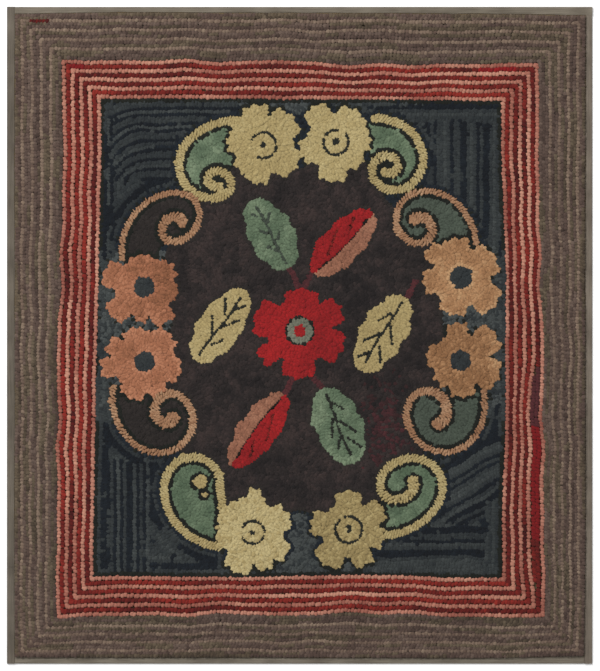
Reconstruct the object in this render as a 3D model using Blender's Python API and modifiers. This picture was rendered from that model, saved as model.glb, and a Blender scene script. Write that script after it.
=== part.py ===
"""Hooked rug with a bound edge, lying flat.

The rug is a ground cloth hooked all over with wool loops. Its nineteen border rows run round the four
sides as ribs, and the rows wander a little, as hand-drawn ones do. Outside the last row the bare margin
of the ground cloth is wrapped in a flat tape: the tape shows as a narrow band on the face, turns round
the edge and lies under the rug. Units are metres, the long sides run along Y, and the origin is on the
floor under the middle of the rug.
"""

from collections import namedtuple
from math import cos, pi, sin

import bmesh
import bpy

INCH = 0.0254
MM = 0.001

# Driving sizes
LENGTH = 36 * INCH  # along Y
WIDTH = 0.815  # along X
HALF_WIDTH, HALF_LENGTH = WIDTH / 2, LENGTH / 2
GAP = 0.3 * MM  # between pieces that lie on each other

# The ground cloth and its loops
CLOTH_THICK = 1.4 * MM
PILE_CREST = 8.0 * MM  # top of a row of loops
PILE_VALLEY = 6.3 * MM  # between two rows
PILE_SHOULDER = 7.0 * MM  # where the outermost row starts to round over
PILE_BULGE = 5.0 * MM  # where the outermost row leans out furthest over the tape
PILE_FIELD = 7.3 * MM  # mean top of the close, unribbed middle
OUTER_ROWS = 10  # grey-brown rows next to the tape
INNER_ROWS = 9  # red and salmon rows inside them
CREST_SHARE = 0.22  # half width of a row's flat crest, in row pitches

# The binding tape
TAPE_THICK = 0.7 * MM
TAPE_UNDER = 20 * MM  # width of the part that is turned under
FOLD_START = 1.8 * MM  # where the tape starts to turn round the edge
MARGIN_INSET = 2.2 * MM  # the ground cloth's cut edge, inside the fold
TAPE_CLEAR = 0.6 * MM  # from the band line to the tape's edge on the face
ROW_FOOT = 0.3 * MM  # from the band line in to the first row's foot
ROW_LEAN = 0.8 * MM  # from the band line out to where that row leans over the tape
ROW_SHOULDER = 0.2 * MM  # from the band line in to that row's shoulder
UNDER_CLEAR = 1.5 * MM  # from the hidden edge of the tape to where the cloth starts to come down
UNDER_SLOPE = 16.5 * MM  # over which the cloth comes down to the floor
JOIN_ALONG = 0.147  # where two lengths of tape meet on the left side, up from its lower end

# Heights that follow from the layers at the edge
MARGIN_LOW = TAPE_THICK + GAP
MARGIN_HIGH = MARGIN_LOW + CLOTH_THICK
TAPE_LOW_MID = TAPE_THICK / 2
TAPE_HIGH_MID = MARGIN_HIGH + GAP + TAPE_THICK / 2

# How finely the solids are divided
SIDE_STEPS = 14
TAPE_STEPS = 28
FOLD_STEPS = 4
FIELD_RINGS = (2.5, 25, 55, 90, 130, 170, 210, 245)  # mm in from the last border row

# The slow waves that make the middle uneven: turns of phase for each metre across and along, in
# radians, a shift, and how high each wave is
Wave = namedtuple("Wave", "across along shift height")
FIELD_WAVES = (
    Wave(19, 13, 0.8, 0.25 * MM),
    Wave(-8, 27, 2.1, 0.2 * MM),
    Wave(37, -29, 0.0, 0.15 * MM),
)

# How far in from the outer edge the bands end, in millimetres, at six places along each side:
# tape, grey-brown rows, red rows. Places run left to right, and bottom to top.
Place = namedtuple("Place", "along tape outer inner")
SIDES = {
    "top": (
        Place(0.0, 10.0, 75.0, 127.0),
        Place(0.2, 8.0, 72.0, 125.0),
        Place(0.4, 8.5, 71.5, 125.5),
        Place(0.6, 9.0, 74.5, 127.0),
        Place(0.8, 10.0, 77.0, 127.0),
        Place(1.0, 12.0, 77.0, 129.0),
    ),
    "bottom": (
        Place(0.0, 9.5, 66.0, 122.0),
        Place(0.2, 9.0, 66.5, 122.0),
        Place(0.4, 9.0, 67.5, 119.0),
        Place(0.6, 8.5, 70.0, 121.5),
        Place(0.8, 8.0, 65.0, 118.0),
        Place(1.0, 11.0, 66.0, 119.0),
    ),
    "left": (
        Place(0.0, 11.5, 68.0, 119.0),
        Place(0.2, 11.0, 68.0, 118.5),
        Place(0.4, 11.5, 70.0, 120.0),
        Place(0.6, 11.5, 73.0, 123.5),
        Place(0.8, 11.0, 75.0, 128.0),
        Place(1.0, 11.5, 73.0, 127.0),
    ),
    "right": (
        Place(0.0, 12.0, 66.5, 125.0),
        Place(0.2, 10.0, 68.0, 124.0),
        Place(0.4, 10.0, 69.5, 119.5),
        Place(0.6, 10.5, 71.5, 120.0),
        Place(0.8, 10.0, 74.5, 124.0),
        Place(1.0, 9.5, 76.5, 125.0),
    ),
}

# Ends of each length of tape, at its low and its high end: one that runs through covers the corner, one
# that butts stops at its neighbour, and one that joins stops at the join on its own side.
Tape = namedtuple("Tape", "name side low high")
TAPES = (
    Tape("tape_left", "left", "join", "through"),
    Tape("tape_left_end", "left", "through", "join"),
    Tape("tape_top", "top", "butt", "through"),
    Tape("tape_right", "right", "through", "butt"),
    Tape("tape_bottom", "bottom", "butt", "butt"),
)
NEIGHBOURS = {
    "top": ("left", "right"),
    "bottom": ("left", "right"),
    "left": ("bottom", "top"),
    "right": ("bottom", "top"),
}

# Materials: name, colour and roughness
WOOL_FINISH = ("hooked wool", (0.16, 0.11, 0.09), 0.95)
TAPE_FINISH = ("woven tape", (0.17, 0.15, 0.11), 0.9)


def band_at(side, along):
    """The insets, in metres, at which the three bands end at a share along a side."""
    places = SIDES[side]
    along = min(max(along, 0.0), 1.0)
    low = max(p for p in places[:-1] if p.along <= along)
    high = places[places.index(low) + 1]
    t = (along - low.along) / (high.along - low.along)
    t = t * t * (3 - 2 * t)
    return Place(along, *((a + (b - a) * t) * MM for a, b in zip(low[1:], high[1:])))


def half_run(side):
    """Half of the rug's size along a side."""
    return HALF_WIDTH if side in ("top", "bottom") else HALF_LENGTH


def on_side(side, run, inset):
    """The point at a signed distance along a side and an inset from its outer edge."""
    if side == "top":
        return run, HALF_LENGTH - inset
    if side == "bottom":
        return run, -HALF_LENGTH + inset
    if side == "left":
        return -HALF_WIDTH + inset, run
    return HALF_WIDTH - inset, run


def inset_at(side, run, inset_of):
    """The inset of one ring where it is at a signed distance along a side."""
    half = half_run(side)
    return inset_of(band_at(side, (run / half + 1) / 2))


def corner(level, upright, inset_of):
    """The point where a ring turns from a level side into an upright one."""
    x = -HALF_WIDTH if upright == "left" else HALF_WIDTH
    y = -HALF_LENGTH if level == "bottom" else HALF_LENGTH
    for _ in range(3):
        x = on_side(upright, 0, inset_at(upright, y, inset_of))[0]
        y = on_side(level, 0, inset_at(level, x, inset_of))[1]
    return x, y


def ring_points(inset_of):
    """The points of one closed ring, anticlockwise from its lower left corner."""
    low_left = corner("bottom", "left", inset_of)
    low_right = corner("bottom", "right", inset_of)
    high_right = corner("top", "right", inset_of)
    high_left = corner("top", "left", inset_of)
    runs = (
        ("bottom", low_left[0], low_right[0]),
        ("right", low_right[1], high_right[1]),
        ("top", high_right[0], high_left[0]),
        ("left", high_left[1], low_left[1]),
    )
    points = []
    for side, start, end in runs:
        for step in range(SIDE_STEPS):
            run = start + (end - start) * step / SIDE_STEPS
            points.append(on_side(side, run, inset_at(side, run, inset_of)))
    return points


def fixed(inset):
    """A ring that keeps one inset all the way round."""
    return lambda place: inset


def beside_tape(extra):
    """A ring that follows the first row's foot."""
    return lambda place: place.tape + extra


def in_row(row, offset):
    """A ring along one border row, counted from the tape, at an offset from its middle in pitches."""
    if row < OUTER_ROWS:
        share = (row + 0.5 + offset) / OUTER_ROWS
        return lambda place: place.tape + (place.outer - place.tape) * share
    share = (row - OUTER_ROWS + 0.5 + offset) / INNER_ROWS
    return lambda place: place.outer + (place.inner - place.outer) * share


def inside_border(extra):
    """A ring in the middle field, at a distance in from the last border row."""
    return lambda place: place.inner + extra


def rug_rings():
    """The rings of the hooked cloth, from the flat underside round the edge to the middle of the face.
    Each is a rule for its inset and its height, or None where the height follows the uneven middle."""
    rings = [
        (fixed(TAPE_UNDER + UNDER_CLEAR + UNDER_SLOPE), 0.0),
        (fixed(TAPE_UNDER + UNDER_CLEAR), MARGIN_LOW),
        (fixed(MARGIN_INSET), MARGIN_LOW),
        (fixed(MARGIN_INSET), MARGIN_HIGH),
        (beside_tape(ROW_FOOT), MARGIN_HIGH),
        (beside_tape(-ROW_LEAN), PILE_BULGE),
        (beside_tape(ROW_SHOULDER), PILE_SHOULDER),
    ]
    for row in range(OUTER_ROWS + INNER_ROWS):
        rings.append((in_row(row, -CREST_SHARE), PILE_CREST))
        rings.append((in_row(row, CREST_SHARE), PILE_CREST))
        rings.append((in_row(row, 0.5), PILE_VALLEY))
    for extra in FIELD_RINGS:
        rings.append((inside_border(extra * MM), None))
    return rings


def field_height(x, y):
    """Top of the loops in the middle field, which rises and falls softly."""
    waves = (w.height * sin(w.across * x + w.along * y + w.shift) for w in FIELD_WAVES)
    return PILE_FIELD + sum(waves)


def finish(name, bm, finish_of, collection):
    """Turns a bmesh into a named object with its material."""
    mesh = bpy.data.meshes.new(name)
    bm.to_mesh(mesh)
    bm.free()
    obj = bpy.data.objects.new(name, mesh)
    collection.objects.link(obj)
    label, colour, roughness = finish_of
    material = bpy.data.materials.get(label) or bpy.data.materials.new(label)
    material.use_nodes = True
    shader = material.node_tree.nodes["Principled BSDF"]
    shader.inputs["Base Color"].default_value = (*colour, 1.0)
    shader.inputs["Roughness"].default_value = roughness
    shader.inputs["Metallic"].default_value = 0.0
    mesh.materials.append(material)
    return obj


def grid(columns, rows):
    """A flat grid whose points are then bent into shape, with each point's column and row."""
    bm = bmesh.new()
    bmesh.ops.create_grid(bm, x_segments=columns, y_segments=rows, size=0.5)
    places = [(v, round((v.co.x + 0.5) * columns), round((v.co.y + 0.5) * rows)) for v in bm.verts]
    return bm, places


def make_hooked_field(collection):
    """The hooked cloth in one piece: a sleeve of rings, closed underneath and in the middle of the face."""
    rings = rug_rings()
    outlines = [ring_points(inset_of) for inset_of, _ in rings]
    round_steps = 4 * SIDE_STEPS
    bm, places = grid(round_steps, len(rings) - 1)
    for vert, column, row in places:
        x, y = outlines[row][column % round_steps]
        height = rings[row][1]
        vert.co = (x, y, field_height(x, y) if height is None else height)
    bmesh.ops.remove_doubles(bm, verts=bm.verts, dist=0.01 * MM)
    ends = [e for e in bm.edges if e.is_boundary]
    bmesh.ops.holes_fill(bm, edges=ends)
    bmesh.ops.triangulate(bm, faces=[f for f in bm.faces if len(f.verts) > 4])
    bmesh.ops.recalc_face_normals(bm, faces=bm.faces)
    return finish("hooked_field", bm, WOOL_FINISH, collection)


def tape_section():
    """Points across a tape, from its edge on the face, round the fold, to its edge underneath.
    Each is its layer, its inset and its height. The edge on the face has no inset of its own: it
    follows the first row of loops."""
    fold_mid = (TAPE_HIGH_MID + TAPE_LOW_MID) / 2
    fold_rise = (TAPE_HIGH_MID - TAPE_LOW_MID) / 2
    fold_reach = FOLD_START - TAPE_THICK / 2 / cos(pi / FOLD_STEPS / 2)
    section = [("face", None, TAPE_HIGH_MID)]
    for step in range(FOLD_STEPS + 1):
        turn = pi * step / FOLD_STEPS
        inset = FOLD_START - fold_reach * sin(turn)
        layer = "face" if step < FOLD_STEPS / 2 else "under"
        section.append((layer, inset, fold_mid + fold_rise * cos(turn)))
    section.append(("under", TAPE_UNDER, TAPE_LOW_MID))
    return section


def tape_end(tape, end, layer):
    """Where one layer of a tape ends, as a signed distance along its side."""
    kind, sign = (tape.low, -1) if end == "low" else (tape.high, 1)
    half = half_run(tape.side)
    if kind == "through":
        return sign * half
    if kind == "join":
        return half * (2 * JOIN_ALONG - 1) - sign * GAP / 2
    if layer == "under":
        return sign * (half - TAPE_UNDER - GAP)
    neighbour = NEIGHBOURS[tape.side][0 if end == "low" else 1]
    met_at = 1.0 if tape.side in ("top", "right") else 0.0
    return sign * (half - band_at(neighbour, met_at).tape + TAPE_CLEAR - GAP)


def make_tape(tape, collection):
    """One length of tape, folded round its side's edge and given its thickness."""
    section = tape_section()
    bm, places = grid(TAPE_STEPS, len(section) - 1)
    for vert, column, row in places:
        layer, inset, height = section[row]
        low, high = tape_end(tape, "low", layer), tape_end(tape, "high", layer)
        run = low + (high - low) * column / TAPE_STEPS
        if inset is None:
            inset = inset_at(tape.side, run, beside_tape(-TAPE_CLEAR))
        vert.co = (*on_side(tape.side, run, inset), height)
    bmesh.ops.recalc_face_normals(bm, faces=bm.faces)
    obj = finish(tape.name, bm, TAPE_FINISH, collection)
    thicken = obj.modifiers.new("thickness", "SOLIDIFY")
    thicken.thickness = TAPE_THICK
    thicken.offset = 0.0
    thicken.use_even_offset = True
    return obj


def main():
    """Clears the scene and builds the rug."""
    for obj in list(bpy.data.objects):
        bpy.data.objects.remove(obj)
    collection = bpy.data.collections.new("hooked rug")
    bpy.context.scene.collection.children.link(collection)
    make_hooked_field(collection)
    for tape in TAPES:
        make_tape(tape, collection)


main()
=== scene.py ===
# %% [markdown]
# # A hooked rug with a bound edge
#
# This lesson dresses the plain solids of a small hooked rug, so that it looks like wool. A hooked rug is
# made on a ground cloth: the maker pulls a strip of wool up through it with a hook, loop after loop, row
# after row, and changes the strip where the colour changes. Then the bare margin is bound in tape.
# We build it the same way. One loop is modelled by hand and copied to some thirty-eight thousand places,
# the rows of the border and the shapes of the flowers are drawn with formulas, and the cloth and the five
# lengths of tape are sheets of their own.
#
# The first cell loads the solids as a fixed frame.

# %% The frame
from collections import namedtuple
from math import ceil, cos, pi, radians, sin

import bmesh
import bpy
import numpy as np
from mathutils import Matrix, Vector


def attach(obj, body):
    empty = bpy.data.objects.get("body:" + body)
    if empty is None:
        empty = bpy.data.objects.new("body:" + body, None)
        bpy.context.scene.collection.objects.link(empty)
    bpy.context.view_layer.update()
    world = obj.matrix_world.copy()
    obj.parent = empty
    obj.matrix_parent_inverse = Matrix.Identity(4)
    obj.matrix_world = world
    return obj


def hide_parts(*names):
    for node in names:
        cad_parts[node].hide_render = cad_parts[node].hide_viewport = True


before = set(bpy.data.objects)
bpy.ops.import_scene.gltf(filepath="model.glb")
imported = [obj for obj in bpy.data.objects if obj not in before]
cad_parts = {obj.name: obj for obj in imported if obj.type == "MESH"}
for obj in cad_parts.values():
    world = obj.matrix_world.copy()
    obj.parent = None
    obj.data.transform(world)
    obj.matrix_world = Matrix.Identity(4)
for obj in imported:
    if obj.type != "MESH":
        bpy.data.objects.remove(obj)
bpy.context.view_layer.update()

MM = 0.001
INCH = 0.0254
print("solids:", sorted(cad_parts))

# %% [markdown]
# ## Camera, floor and light
#
# The rug is seen from straight above. A long lens far away keeps its sides parallel. We find the lens from
# the width of floor that the picture takes in: the rug is 815 mm wide, and it fills all but a few
# millimetres at each side.

# %% Camera
RUG_WIDTH = 0.815
RUG_LENGTH = 36 * INCH
HALF_WIDTH, HALF_LENGTH = RUG_WIDTH / 2, RUG_LENGTH / 2
PICTURE_WIDTH = 0.8358  # metres of floor across the picture
CAMERA_HEIGHT = 4.0
CAMERA_X, CAMERA_Y = 0.56 * MM, -0.35 * MM  # the rug lies a little off the middle
SENSOR = 36.0

camera_data = bpy.data.cameras.new("camera")
camera_data.sensor_fit = "HORIZONTAL"
camera_data.sensor_width = SENSOR
camera_data.lens = SENSOR * CAMERA_HEIGHT / PICTURE_WIDTH
camera = bpy.data.objects.new("camera", camera_data)
camera.location = (CAMERA_X, CAMERA_Y, CAMERA_HEIGHT)
bpy.context.scene.collection.objects.link(camera)
bpy.context.scene.camera = camera
print("lens", round(camera_data.lens, 1), "mm")

# %% [markdown]
# A soft light from the upper left picks out the rows of loops, and a pale sky fills the shadows. Both are
# plain studio light. The floor is a large white sheet.

# %% Floor and light
FLOOR_SIZE = 12.0
FLOOR_WHITE = 0.93


def deselect_all():
    """Leaves nothing selected, since an operator acts on all that is."""
    if bpy.context.mode != "OBJECT":
        bpy.ops.object.mode_set(mode="OBJECT")
    bpy.ops.object.select_all(action="DESELECT")


def start_material(name, inputs):
    """A new material, its node tree, and its shader with some values set."""
    material = bpy.data.materials.new(name)
    material.use_nodes = True
    shader = material.node_tree.nodes["Principled BSDF"]
    for key, value in inputs.items():
        shader.inputs[key].default_value = value
    return material, material.node_tree, shader


deselect_all()
bpy.ops.mesh.primitive_plane_add(size=FLOOR_SIZE, location=(0, 0, 0))
floor = bpy.context.object
floor.name = "studio_floor"
floor_look = {"Base Color": (FLOOR_WHITE, FLOOR_WHITE, FLOOR_WHITE, 1), "Roughness": 0.9}
floor.data.materials.append(start_material("white floor", floor_look)[0])

KEY_PLACE = (-1.7, 2.0, 3.4)
KEY_SIZE = 1.6
KEY_POWER = 150
SKY_STRENGTH = 0.72

key_data = bpy.data.lights.new("key light", "AREA")
key_data.size = KEY_SIZE
key_data.energy = KEY_POWER
key = bpy.data.objects.new("key light", key_data)
key.location = KEY_PLACE
aim = Vector((0, 0, 0)) - Vector(KEY_PLACE)
key.rotation_euler = aim.to_track_quat("-Z", "Y").to_euler()
bpy.context.scene.collection.objects.link(key)

sky = bpy.data.worlds.new("pale sky")
sky.use_nodes = True
sky_light = sky.node_tree.nodes["Background"]
sky_light.inputs["Color"].default_value = (1.0, 1.0, 1.0, 1)
sky_light.inputs["Strength"].default_value = SKY_STRENGTH
bpy.context.scene.world = sky
bpy.context.scene.view_settings.view_transform = "Standard"

# %% [markdown]
# ## The border's rows
#
# The border is hooked in rows that run round all four sides. They wander, as hand-drawn rows do. The table
# below says how far in from the outer edge the tape, the grey-brown rows and the red rows end, at six
# places along each side. The solids were made from the same table for the tape, and from one within six
# millimetres of it for the rows.

# %% Border table
Place = namedtuple("Place", "along tape outer inner")
SIDES = {
    "top": (
        Place(0.0, 10.0, 75.0, 129.0),
        Place(0.2, 8.0, 73.5, 128.5),
        Place(0.4, 8.5, 75.0, 129.0),
        Place(0.6, 9.0, 80.0, 129.5),
        Place(0.8, 10.0, 80.0, 131.5),
        Place(1.0, 12.0, 79.5, 132.0),
    ),
    "bottom": (
        Place(0.0, 9.5, 63.5, 121.0),
        Place(0.2, 9.0, 65.0, 122.5),
        Place(0.4, 9.0, 68.0, 122.0),
        Place(0.6, 8.5, 70.0, 124.0),
        Place(0.8, 8.0, 65.0, 120.5),
        Place(1.0, 11.0, 66.0, 121.5),
    ),
    "left": (
        Place(0.0, 11.5, 71.0, 122.5),
        Place(0.2, 11.0, 68.5, 121.0),
        Place(0.4, 11.5, 70.0, 124.5),
        Place(0.6, 11.5, 74.5, 128.5),
        Place(0.8, 11.0, 79.0, 132.0),
        Place(1.0, 11.5, 76.0, 130.0),
    ),
    "right": (
        Place(0.0, 12.0, 68.0, 127.0),
        Place(0.2, 10.0, 65.5, 126.5),
        Place(0.4, 10.0, 67.5, 121.5),
        Place(0.6, 10.5, 71.5, 121.5),
        Place(0.8, 10.0, 75.0, 127.5),
        Place(1.0, 9.5, 76.5, 126.0),
    ),
}
OUTER_ROWS = 15  # rows of loops in the grey-brown band
INNER_ROWS = 9  # rows in the red band
BORDER_ROWS = OUTER_ROWS + INNER_ROWS
CORNER_ROUNDS = 3  # how often the place where two rows meet is found anew
FACE_OF = {"top": (0, 1), "bottom": (0, -1), "left": (-1, 0), "right": (1, 0)}


def half_run(side):
    """Half of the rug's size along a side."""
    return HALF_WIDTH if side in ("top", "bottom") else HALF_LENGTH


def gentle(t):
    """A share from 0 to 1, made to start and end gently."""
    return t * t * (3 - 2 * t)


def band_inset(side, run, band):
    """How far in from the outer edge a band ends, at signed distances along a side."""
    places = SIDES[side]
    along = np.clip((np.asarray(run, float) / half_run(side) + 1) / 2, 0, 1)
    step = np.clip((along * (len(places) - 1)).astype(int), 0, len(places) - 2)
    ends = np.array([getattr(place, band) for place in places])
    t = gentle(along * (len(places) - 1) - step)
    return (ends[step] + (ends[step + 1] - ends[step]) * t) * MM


def row_inset(side, run, row):
    """The inset of a place counted in rows from the tape: 0 is the tape's edge, and whole numbers lie
    between two rows."""
    tape = band_inset(side, run, "tape")
    outer = band_inset(side, run, "outer")
    inner = band_inset(side, run, "inner")
    in_outer = tape + (outer - tape) * row / OUTER_ROWS
    in_inner = outer + (inner - outer) * (row - OUTER_ROWS) / INNER_ROWS
    return np.where(row < OUTER_ROWS, in_outer, in_inner)


def on_side(side, run, inset):
    """Points at signed distances along a side and at insets from its outer edge."""
    out_x, out_y = FACE_OF[side]
    run = np.asarray(run, float)
    if out_x:
        return np.stack([out_x * (HALF_WIDTH - inset), run + 0 * inset], -1)
    return np.stack([run + 0 * inset, out_y * (HALF_LENGTH - inset)], -1)


def row_corner(level, upright, inset_of):
    """Where a row turns from a level side into an upright one."""
    x = FACE_OF[upright][0] * HALF_WIDTH
    y = FACE_OF[level][1] * HALF_LENGTH
    for _ in range(CORNER_ROUNDS):
        x = on_side(upright, y, inset_of(upright, y))[0]
        y = on_side(level, x, inset_of(level, x))[1]
    return x, y


def side_runs(inset_of):
    """Each side with the signed distances at which a row starts and ends on it."""
    low_left = row_corner("bottom", "left", inset_of)
    low_right = row_corner("bottom", "right", inset_of)
    high_right = row_corner("top", "right", inset_of)
    high_left = row_corner("top", "left", inset_of)
    return (
        ("bottom", low_left[0], low_right[0]),
        ("right", low_right[1], high_right[1]),
        ("top", high_right[0], high_left[0]),
        ("left", high_left[1], low_left[1]),
    )


red_from = float(band_inset("top", 0.0, "outer")) / MM
print("border:", BORDER_ROWS, "rows;", round(red_from, 1), "mm to the red")

# %% [markdown]
# ## Wool colours
#
# Each yarn is a strip of wool in one dye, and no dye is even: a strip has darker and lighter stretches. So
# a yarn here is three shades, dark, middle and light. Every loop carries one number from 0 to 1, its dye,
# that says where between them it falls. Colours are typed as the eye reads them, 0 to 255, and changed to
# the light values that Blender works in.

# %% Yarns
Yarn = namedtuple("Yarn", "dark middle light")

# The curve from typed colours to light: a straight line for the darkest shades and a power above it
STRAIGHT_TO = 0.04045
STRAIGHT_SLOPE = 12.92
CURVE_LIFT = 0.055
CURVE_POWER = 2.4


def light_value(shade):
    """Red, green and blue as the eye reads them, as amounts of light."""
    share = np.array(shade, float) / 255
    curved = ((share + CURVE_LIFT) / (1 + CURVE_LIFT)) ** CURVE_POWER
    return np.where(share <= STRAIGHT_TO, share / STRAIGHT_SLOPE, curved)


YARNS = {
    "grey_brown": Yarn((58, 45, 39), (75, 60, 53), (91, 76, 67)),
    "olive_brown": Yarn((56, 46, 37), (74, 63, 50), (91, 79, 64)),
    "taupe": Yarn((82, 66, 57), (101, 84, 72), (118, 101, 86)),
    "red": Yarn((60, 14, 13), (92, 24, 19), (122, 35, 27)),
    "salmon": Yarn((126, 72, 60), (151, 98, 82), (172, 123, 103)),
    "maroon": Yarn((43, 26, 26), (57, 30, 32), (72, 34, 36)),
    "crimson": Yarn((108, 18, 20), (130, 22, 24), (152, 27, 28)),
    "navy": Yarn((9, 12, 17), (14, 19, 25), (22, 28, 34)),
    "slate": Yarn((34, 38, 40), (48, 52, 52), (62, 66, 65)),
    "brown": Yarn((25, 21, 21), (37, 31, 30), (51, 41, 39)),
    "outline": Yarn((14, 15, 12), (20, 22, 17), (30, 31, 26)),
    "cream": Yarn((131, 114, 75), (151, 134, 91), (168, 153, 110)),
    "orange": Yarn((120, 77, 53), (143, 92, 66), (163, 110, 82)),
    "apricot": Yarn((115, 80, 57), (138, 102, 75), (160, 127, 98)),
    "peach": Yarn((124, 88, 58), (149, 110, 76), (170, 134, 97)),
    "green": Yarn((68, 83, 64), (87, 102, 80), (111, 125, 100)),
    "moss": Yarn((54, 61, 52), (65, 73, 63), (76, 84, 73)),
    "soot": Yarn((28, 24, 22), (36, 31, 29), (46, 40, 37)),
    "rust": Yarn((107, 69, 52), (134, 90, 70), (157, 113, 89)),
    "grey_green": Yarn((78, 80, 69), (95, 97, 83), (112, 113, 99)),
}
# The yarns of the fills, whose loops show finer tufts, painted with a shade between them
PLUSH_YARNS = (
    "crimson", "maroon", "navy", "slate", "brown", "cream", "orange", "peach", "green", "moss", "soot",
    "rust",
)
YARN_NAMES = list(YARNS)
LIGHT_VALUES = {name: np.array([light_value(shade) for shade in yarn]) for name, yarn in YARNS.items()}
print(len(YARNS), "yarns")

# %% [markdown]
# ## A memory for what is uneven
#
# Hand work drifts: a dye gets slowly paler along a row, a row waves, a patch of ground is darker. A smooth
# random surface gives such drift. We draw random heights on a coarse grid and blend between them. The seed
# is fixed, so that every run gives the same rug.

# %% Slow noise
chance = np.random.default_rng(1936)
NOISE_CELLS = 64
NOISE_LAYERS = 8  # surfaces that have nothing to do with each other
NOISE_START = 500.5  # keeps the count of cells above zero
# What the layers serve: rows, dyes along rows, drawn lines, fills, rims and the ground
ROW_LAYER, DYE_LAYER, LINE_LAYER, SLOW_LAYER, FINE_LAYER, RIM_LAYER, GROUND_LAYER = range(1, NOISE_LAYERS)
noise_heights = chance.uniform(-1, 1, (NOISE_LAYERS, NOISE_CELLS, NOISE_CELLS))


def drift(x, y, size, layer):
    """A smooth random value from about -1 to 1, whose patches are about this size."""
    u, v = np.asarray(x, float) / size + NOISE_START, np.asarray(y, float) / size + NOISE_START
    i, j = np.floor(u).astype(int), np.floor(v).astype(int)
    s, t = gentle(u - i), gentle(v - j)
    heights = noise_heights[layer]
    left, right = i % NOISE_CELLS, (i + 1) % NOISE_CELLS
    low, high = j % NOISE_CELLS, (j + 1) % NOISE_CELLS
    below = heights[left, low] * (1 - s) + heights[right, low] * s
    above = heights[left, high] * (1 - s) + heights[right, high] * s
    return below * (1 - t) + above * t


# %% [markdown]
# ## Keeping the loops
#
# Loops come from many places: border rows, scrolls, outlines and fills. All are kept in one list, with
# place, heading along the row, yarn and dye. Two loops can't stand in the same hole of the ground cloth, so
# inside the border a new loop is only taken where there is room. To find neighbours fast, the rug is
# divided into squares as big as the room that a loop needs, and only the nine squares around it are looked
# at.

# %% Loop list
Shape = namedtuple("Shape", "along across slant relief lift", defaults=(0,))
RIB = Shape(1.46, 1.24, -27, 1.2)  # a loop that shows as a slanted rib
PLUSH = Shape(1.62, 1.46, -10, 0.5)  # one that merges with its neighbours
CORD = Shape(1.0, 1.5, -22, 1.25)  # one across the band of a scroll
KNIT = Shape(1.55, 1.3, -27, 0.95)  # one in the crowded grey-brown rows
kept = {"place": [], "heading": [], "yarn": [], "dye": [], "shape": []}
squares = {}
ROOM = 3.35 * MM  # least distance between two loops


def loops_near(x, y):
    """The loops in the nine squares around a place."""
    column, line = int(x // ROOM), int(y // ROOM)
    for i in (column - 1, column, column + 1):
        for j in (line - 1, line, line + 1):
            yield from squares.get((i, j), ())


def has_room(x, y, room=ROOM):
    """Whether no loop stands nearer than this."""
    for other_x, other_y, _ in loops_near(x, y):
        if (other_x - x) ** 2 + (other_y - y) ** 2 < room * room:
            return False
    return True


def nearest_yarn(x, y, choices):
    """The yarn of the nearest loop among these yarns, or the first of them."""
    best, found = 1.0, choices[0]
    for other_x, other_y, other_yarn in loops_near(x, y):
        gap = (other_x - x) ** 2 + (other_y - y) ** 2
        if gap < best and other_yarn in choices:
            best, found = gap, other_yarn
    return found


def keep(x, y, heading, yarn, dye, shape=PLUSH):
    """Takes one loop into the list."""
    squares.setdefault((int(x // ROOM), int(y // ROOM)), []).append((x, y, yarn))
    kept["place"].append((x, y))
    kept["heading"].append(heading)
    kept["yarn"].append(yarn)
    kept["dye"].append(dye)
    kept["shape"].append(shape)


def evenly(points, spacing, closed=False, jitter=0.12):
    """Places and headings at an even spacing along a line of points, a little uneven as by hand."""
    points = np.asarray(points, float)
    if closed:
        points = np.concatenate([points, points[:1]])
    steps = np.hypot(*np.diff(points, axis=0).T)
    far = np.concatenate([[0], np.cumsum(steps)])
    count = int(round(far[-1] / spacing))
    if count < 1:
        return np.zeros((0, 2)), np.zeros(0)
    stops = (np.arange(count) + 0.5 + chance.uniform(-jitter, jitter, count)) * far[-1] / count
    x, y = np.interp(stops, far, points[:, 0]), np.interp(stops, far, points[:, 1])
    ahead, behind = np.minimum(stops + spacing, far[-1]), np.maximum(stops - spacing, 0)
    dx = np.interp(ahead, far, points[:, 0]) - np.interp(behind, far, points[:, 0])
    dy = np.interp(ahead, far, points[:, 1]) - np.interp(behind, far, points[:, 1])
    return np.stack([x, y], -1), np.arctan2(dy, dx)


# %% [markdown]
# ## Hooking the border
#
# The grey-brown band is two dark rows, one paler row, two dark rows and so on. In the red band salmon and
# dark red rows take turns. Where the maker ran out of a strip, a few stretches are in another yarn, and we
# add those by name. One dark red row at the right is hooked twice, and the rows inside it give way. The
# loops are hooked side after side, so the rows meet in a mitre at each corner.

# %% Border rows
BORDER_SPACING = 4.6 * MM
WANDER = 2.0 * MM  # how far neighbouring rows wander together
SHIVER = 0.5 * MM  # how far each wanders on its own
STAGGER = 0.45 * MM  # in the red band every other loop stands to the side
SCATTER = 0.2 * MM  # and any loop may stand a little off its row
FIRST_SHIFT = 0.3  # the outermost row stands this much of a row further in
WANDER_LENGTH, SHIVER_LENGTH = 0.045, 0.012  # metres of a row in which they change
SHIVER_STEP = 7.0  # sets the shivers of two rows far apart
CALM_ROWS = 3  # towards the tape and the flowers this many rows wander less and less
LEAST_WANDER = 0.6  # added to a row's number there, so that the outermost row wanders a little too
SPACING_SPREAD = 0.05  # how much a row may be hooked denser or looser
ROW_JITTER = 0.15
OUTER_DRIFT, RED_DRIFT = 0.22, 0.4  # how much a dye drifts along a row
OUTER_FLECK, RED_FLECK = 0.2, 0.12  # how much it differs from loop to loop
ROW_DYE = 0.16  # and from row to row
DYE_LENGTH = 0.05
PALE_TURNS = 0.1  # in a pale row every other loop is lighter
OLIVE_LENGTH, OLIVE_STEP, OLIVE_FROM = 0.035, 0.7, 0.12  # where grey-brown turns to olive
ROW_POINTS = 240
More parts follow.
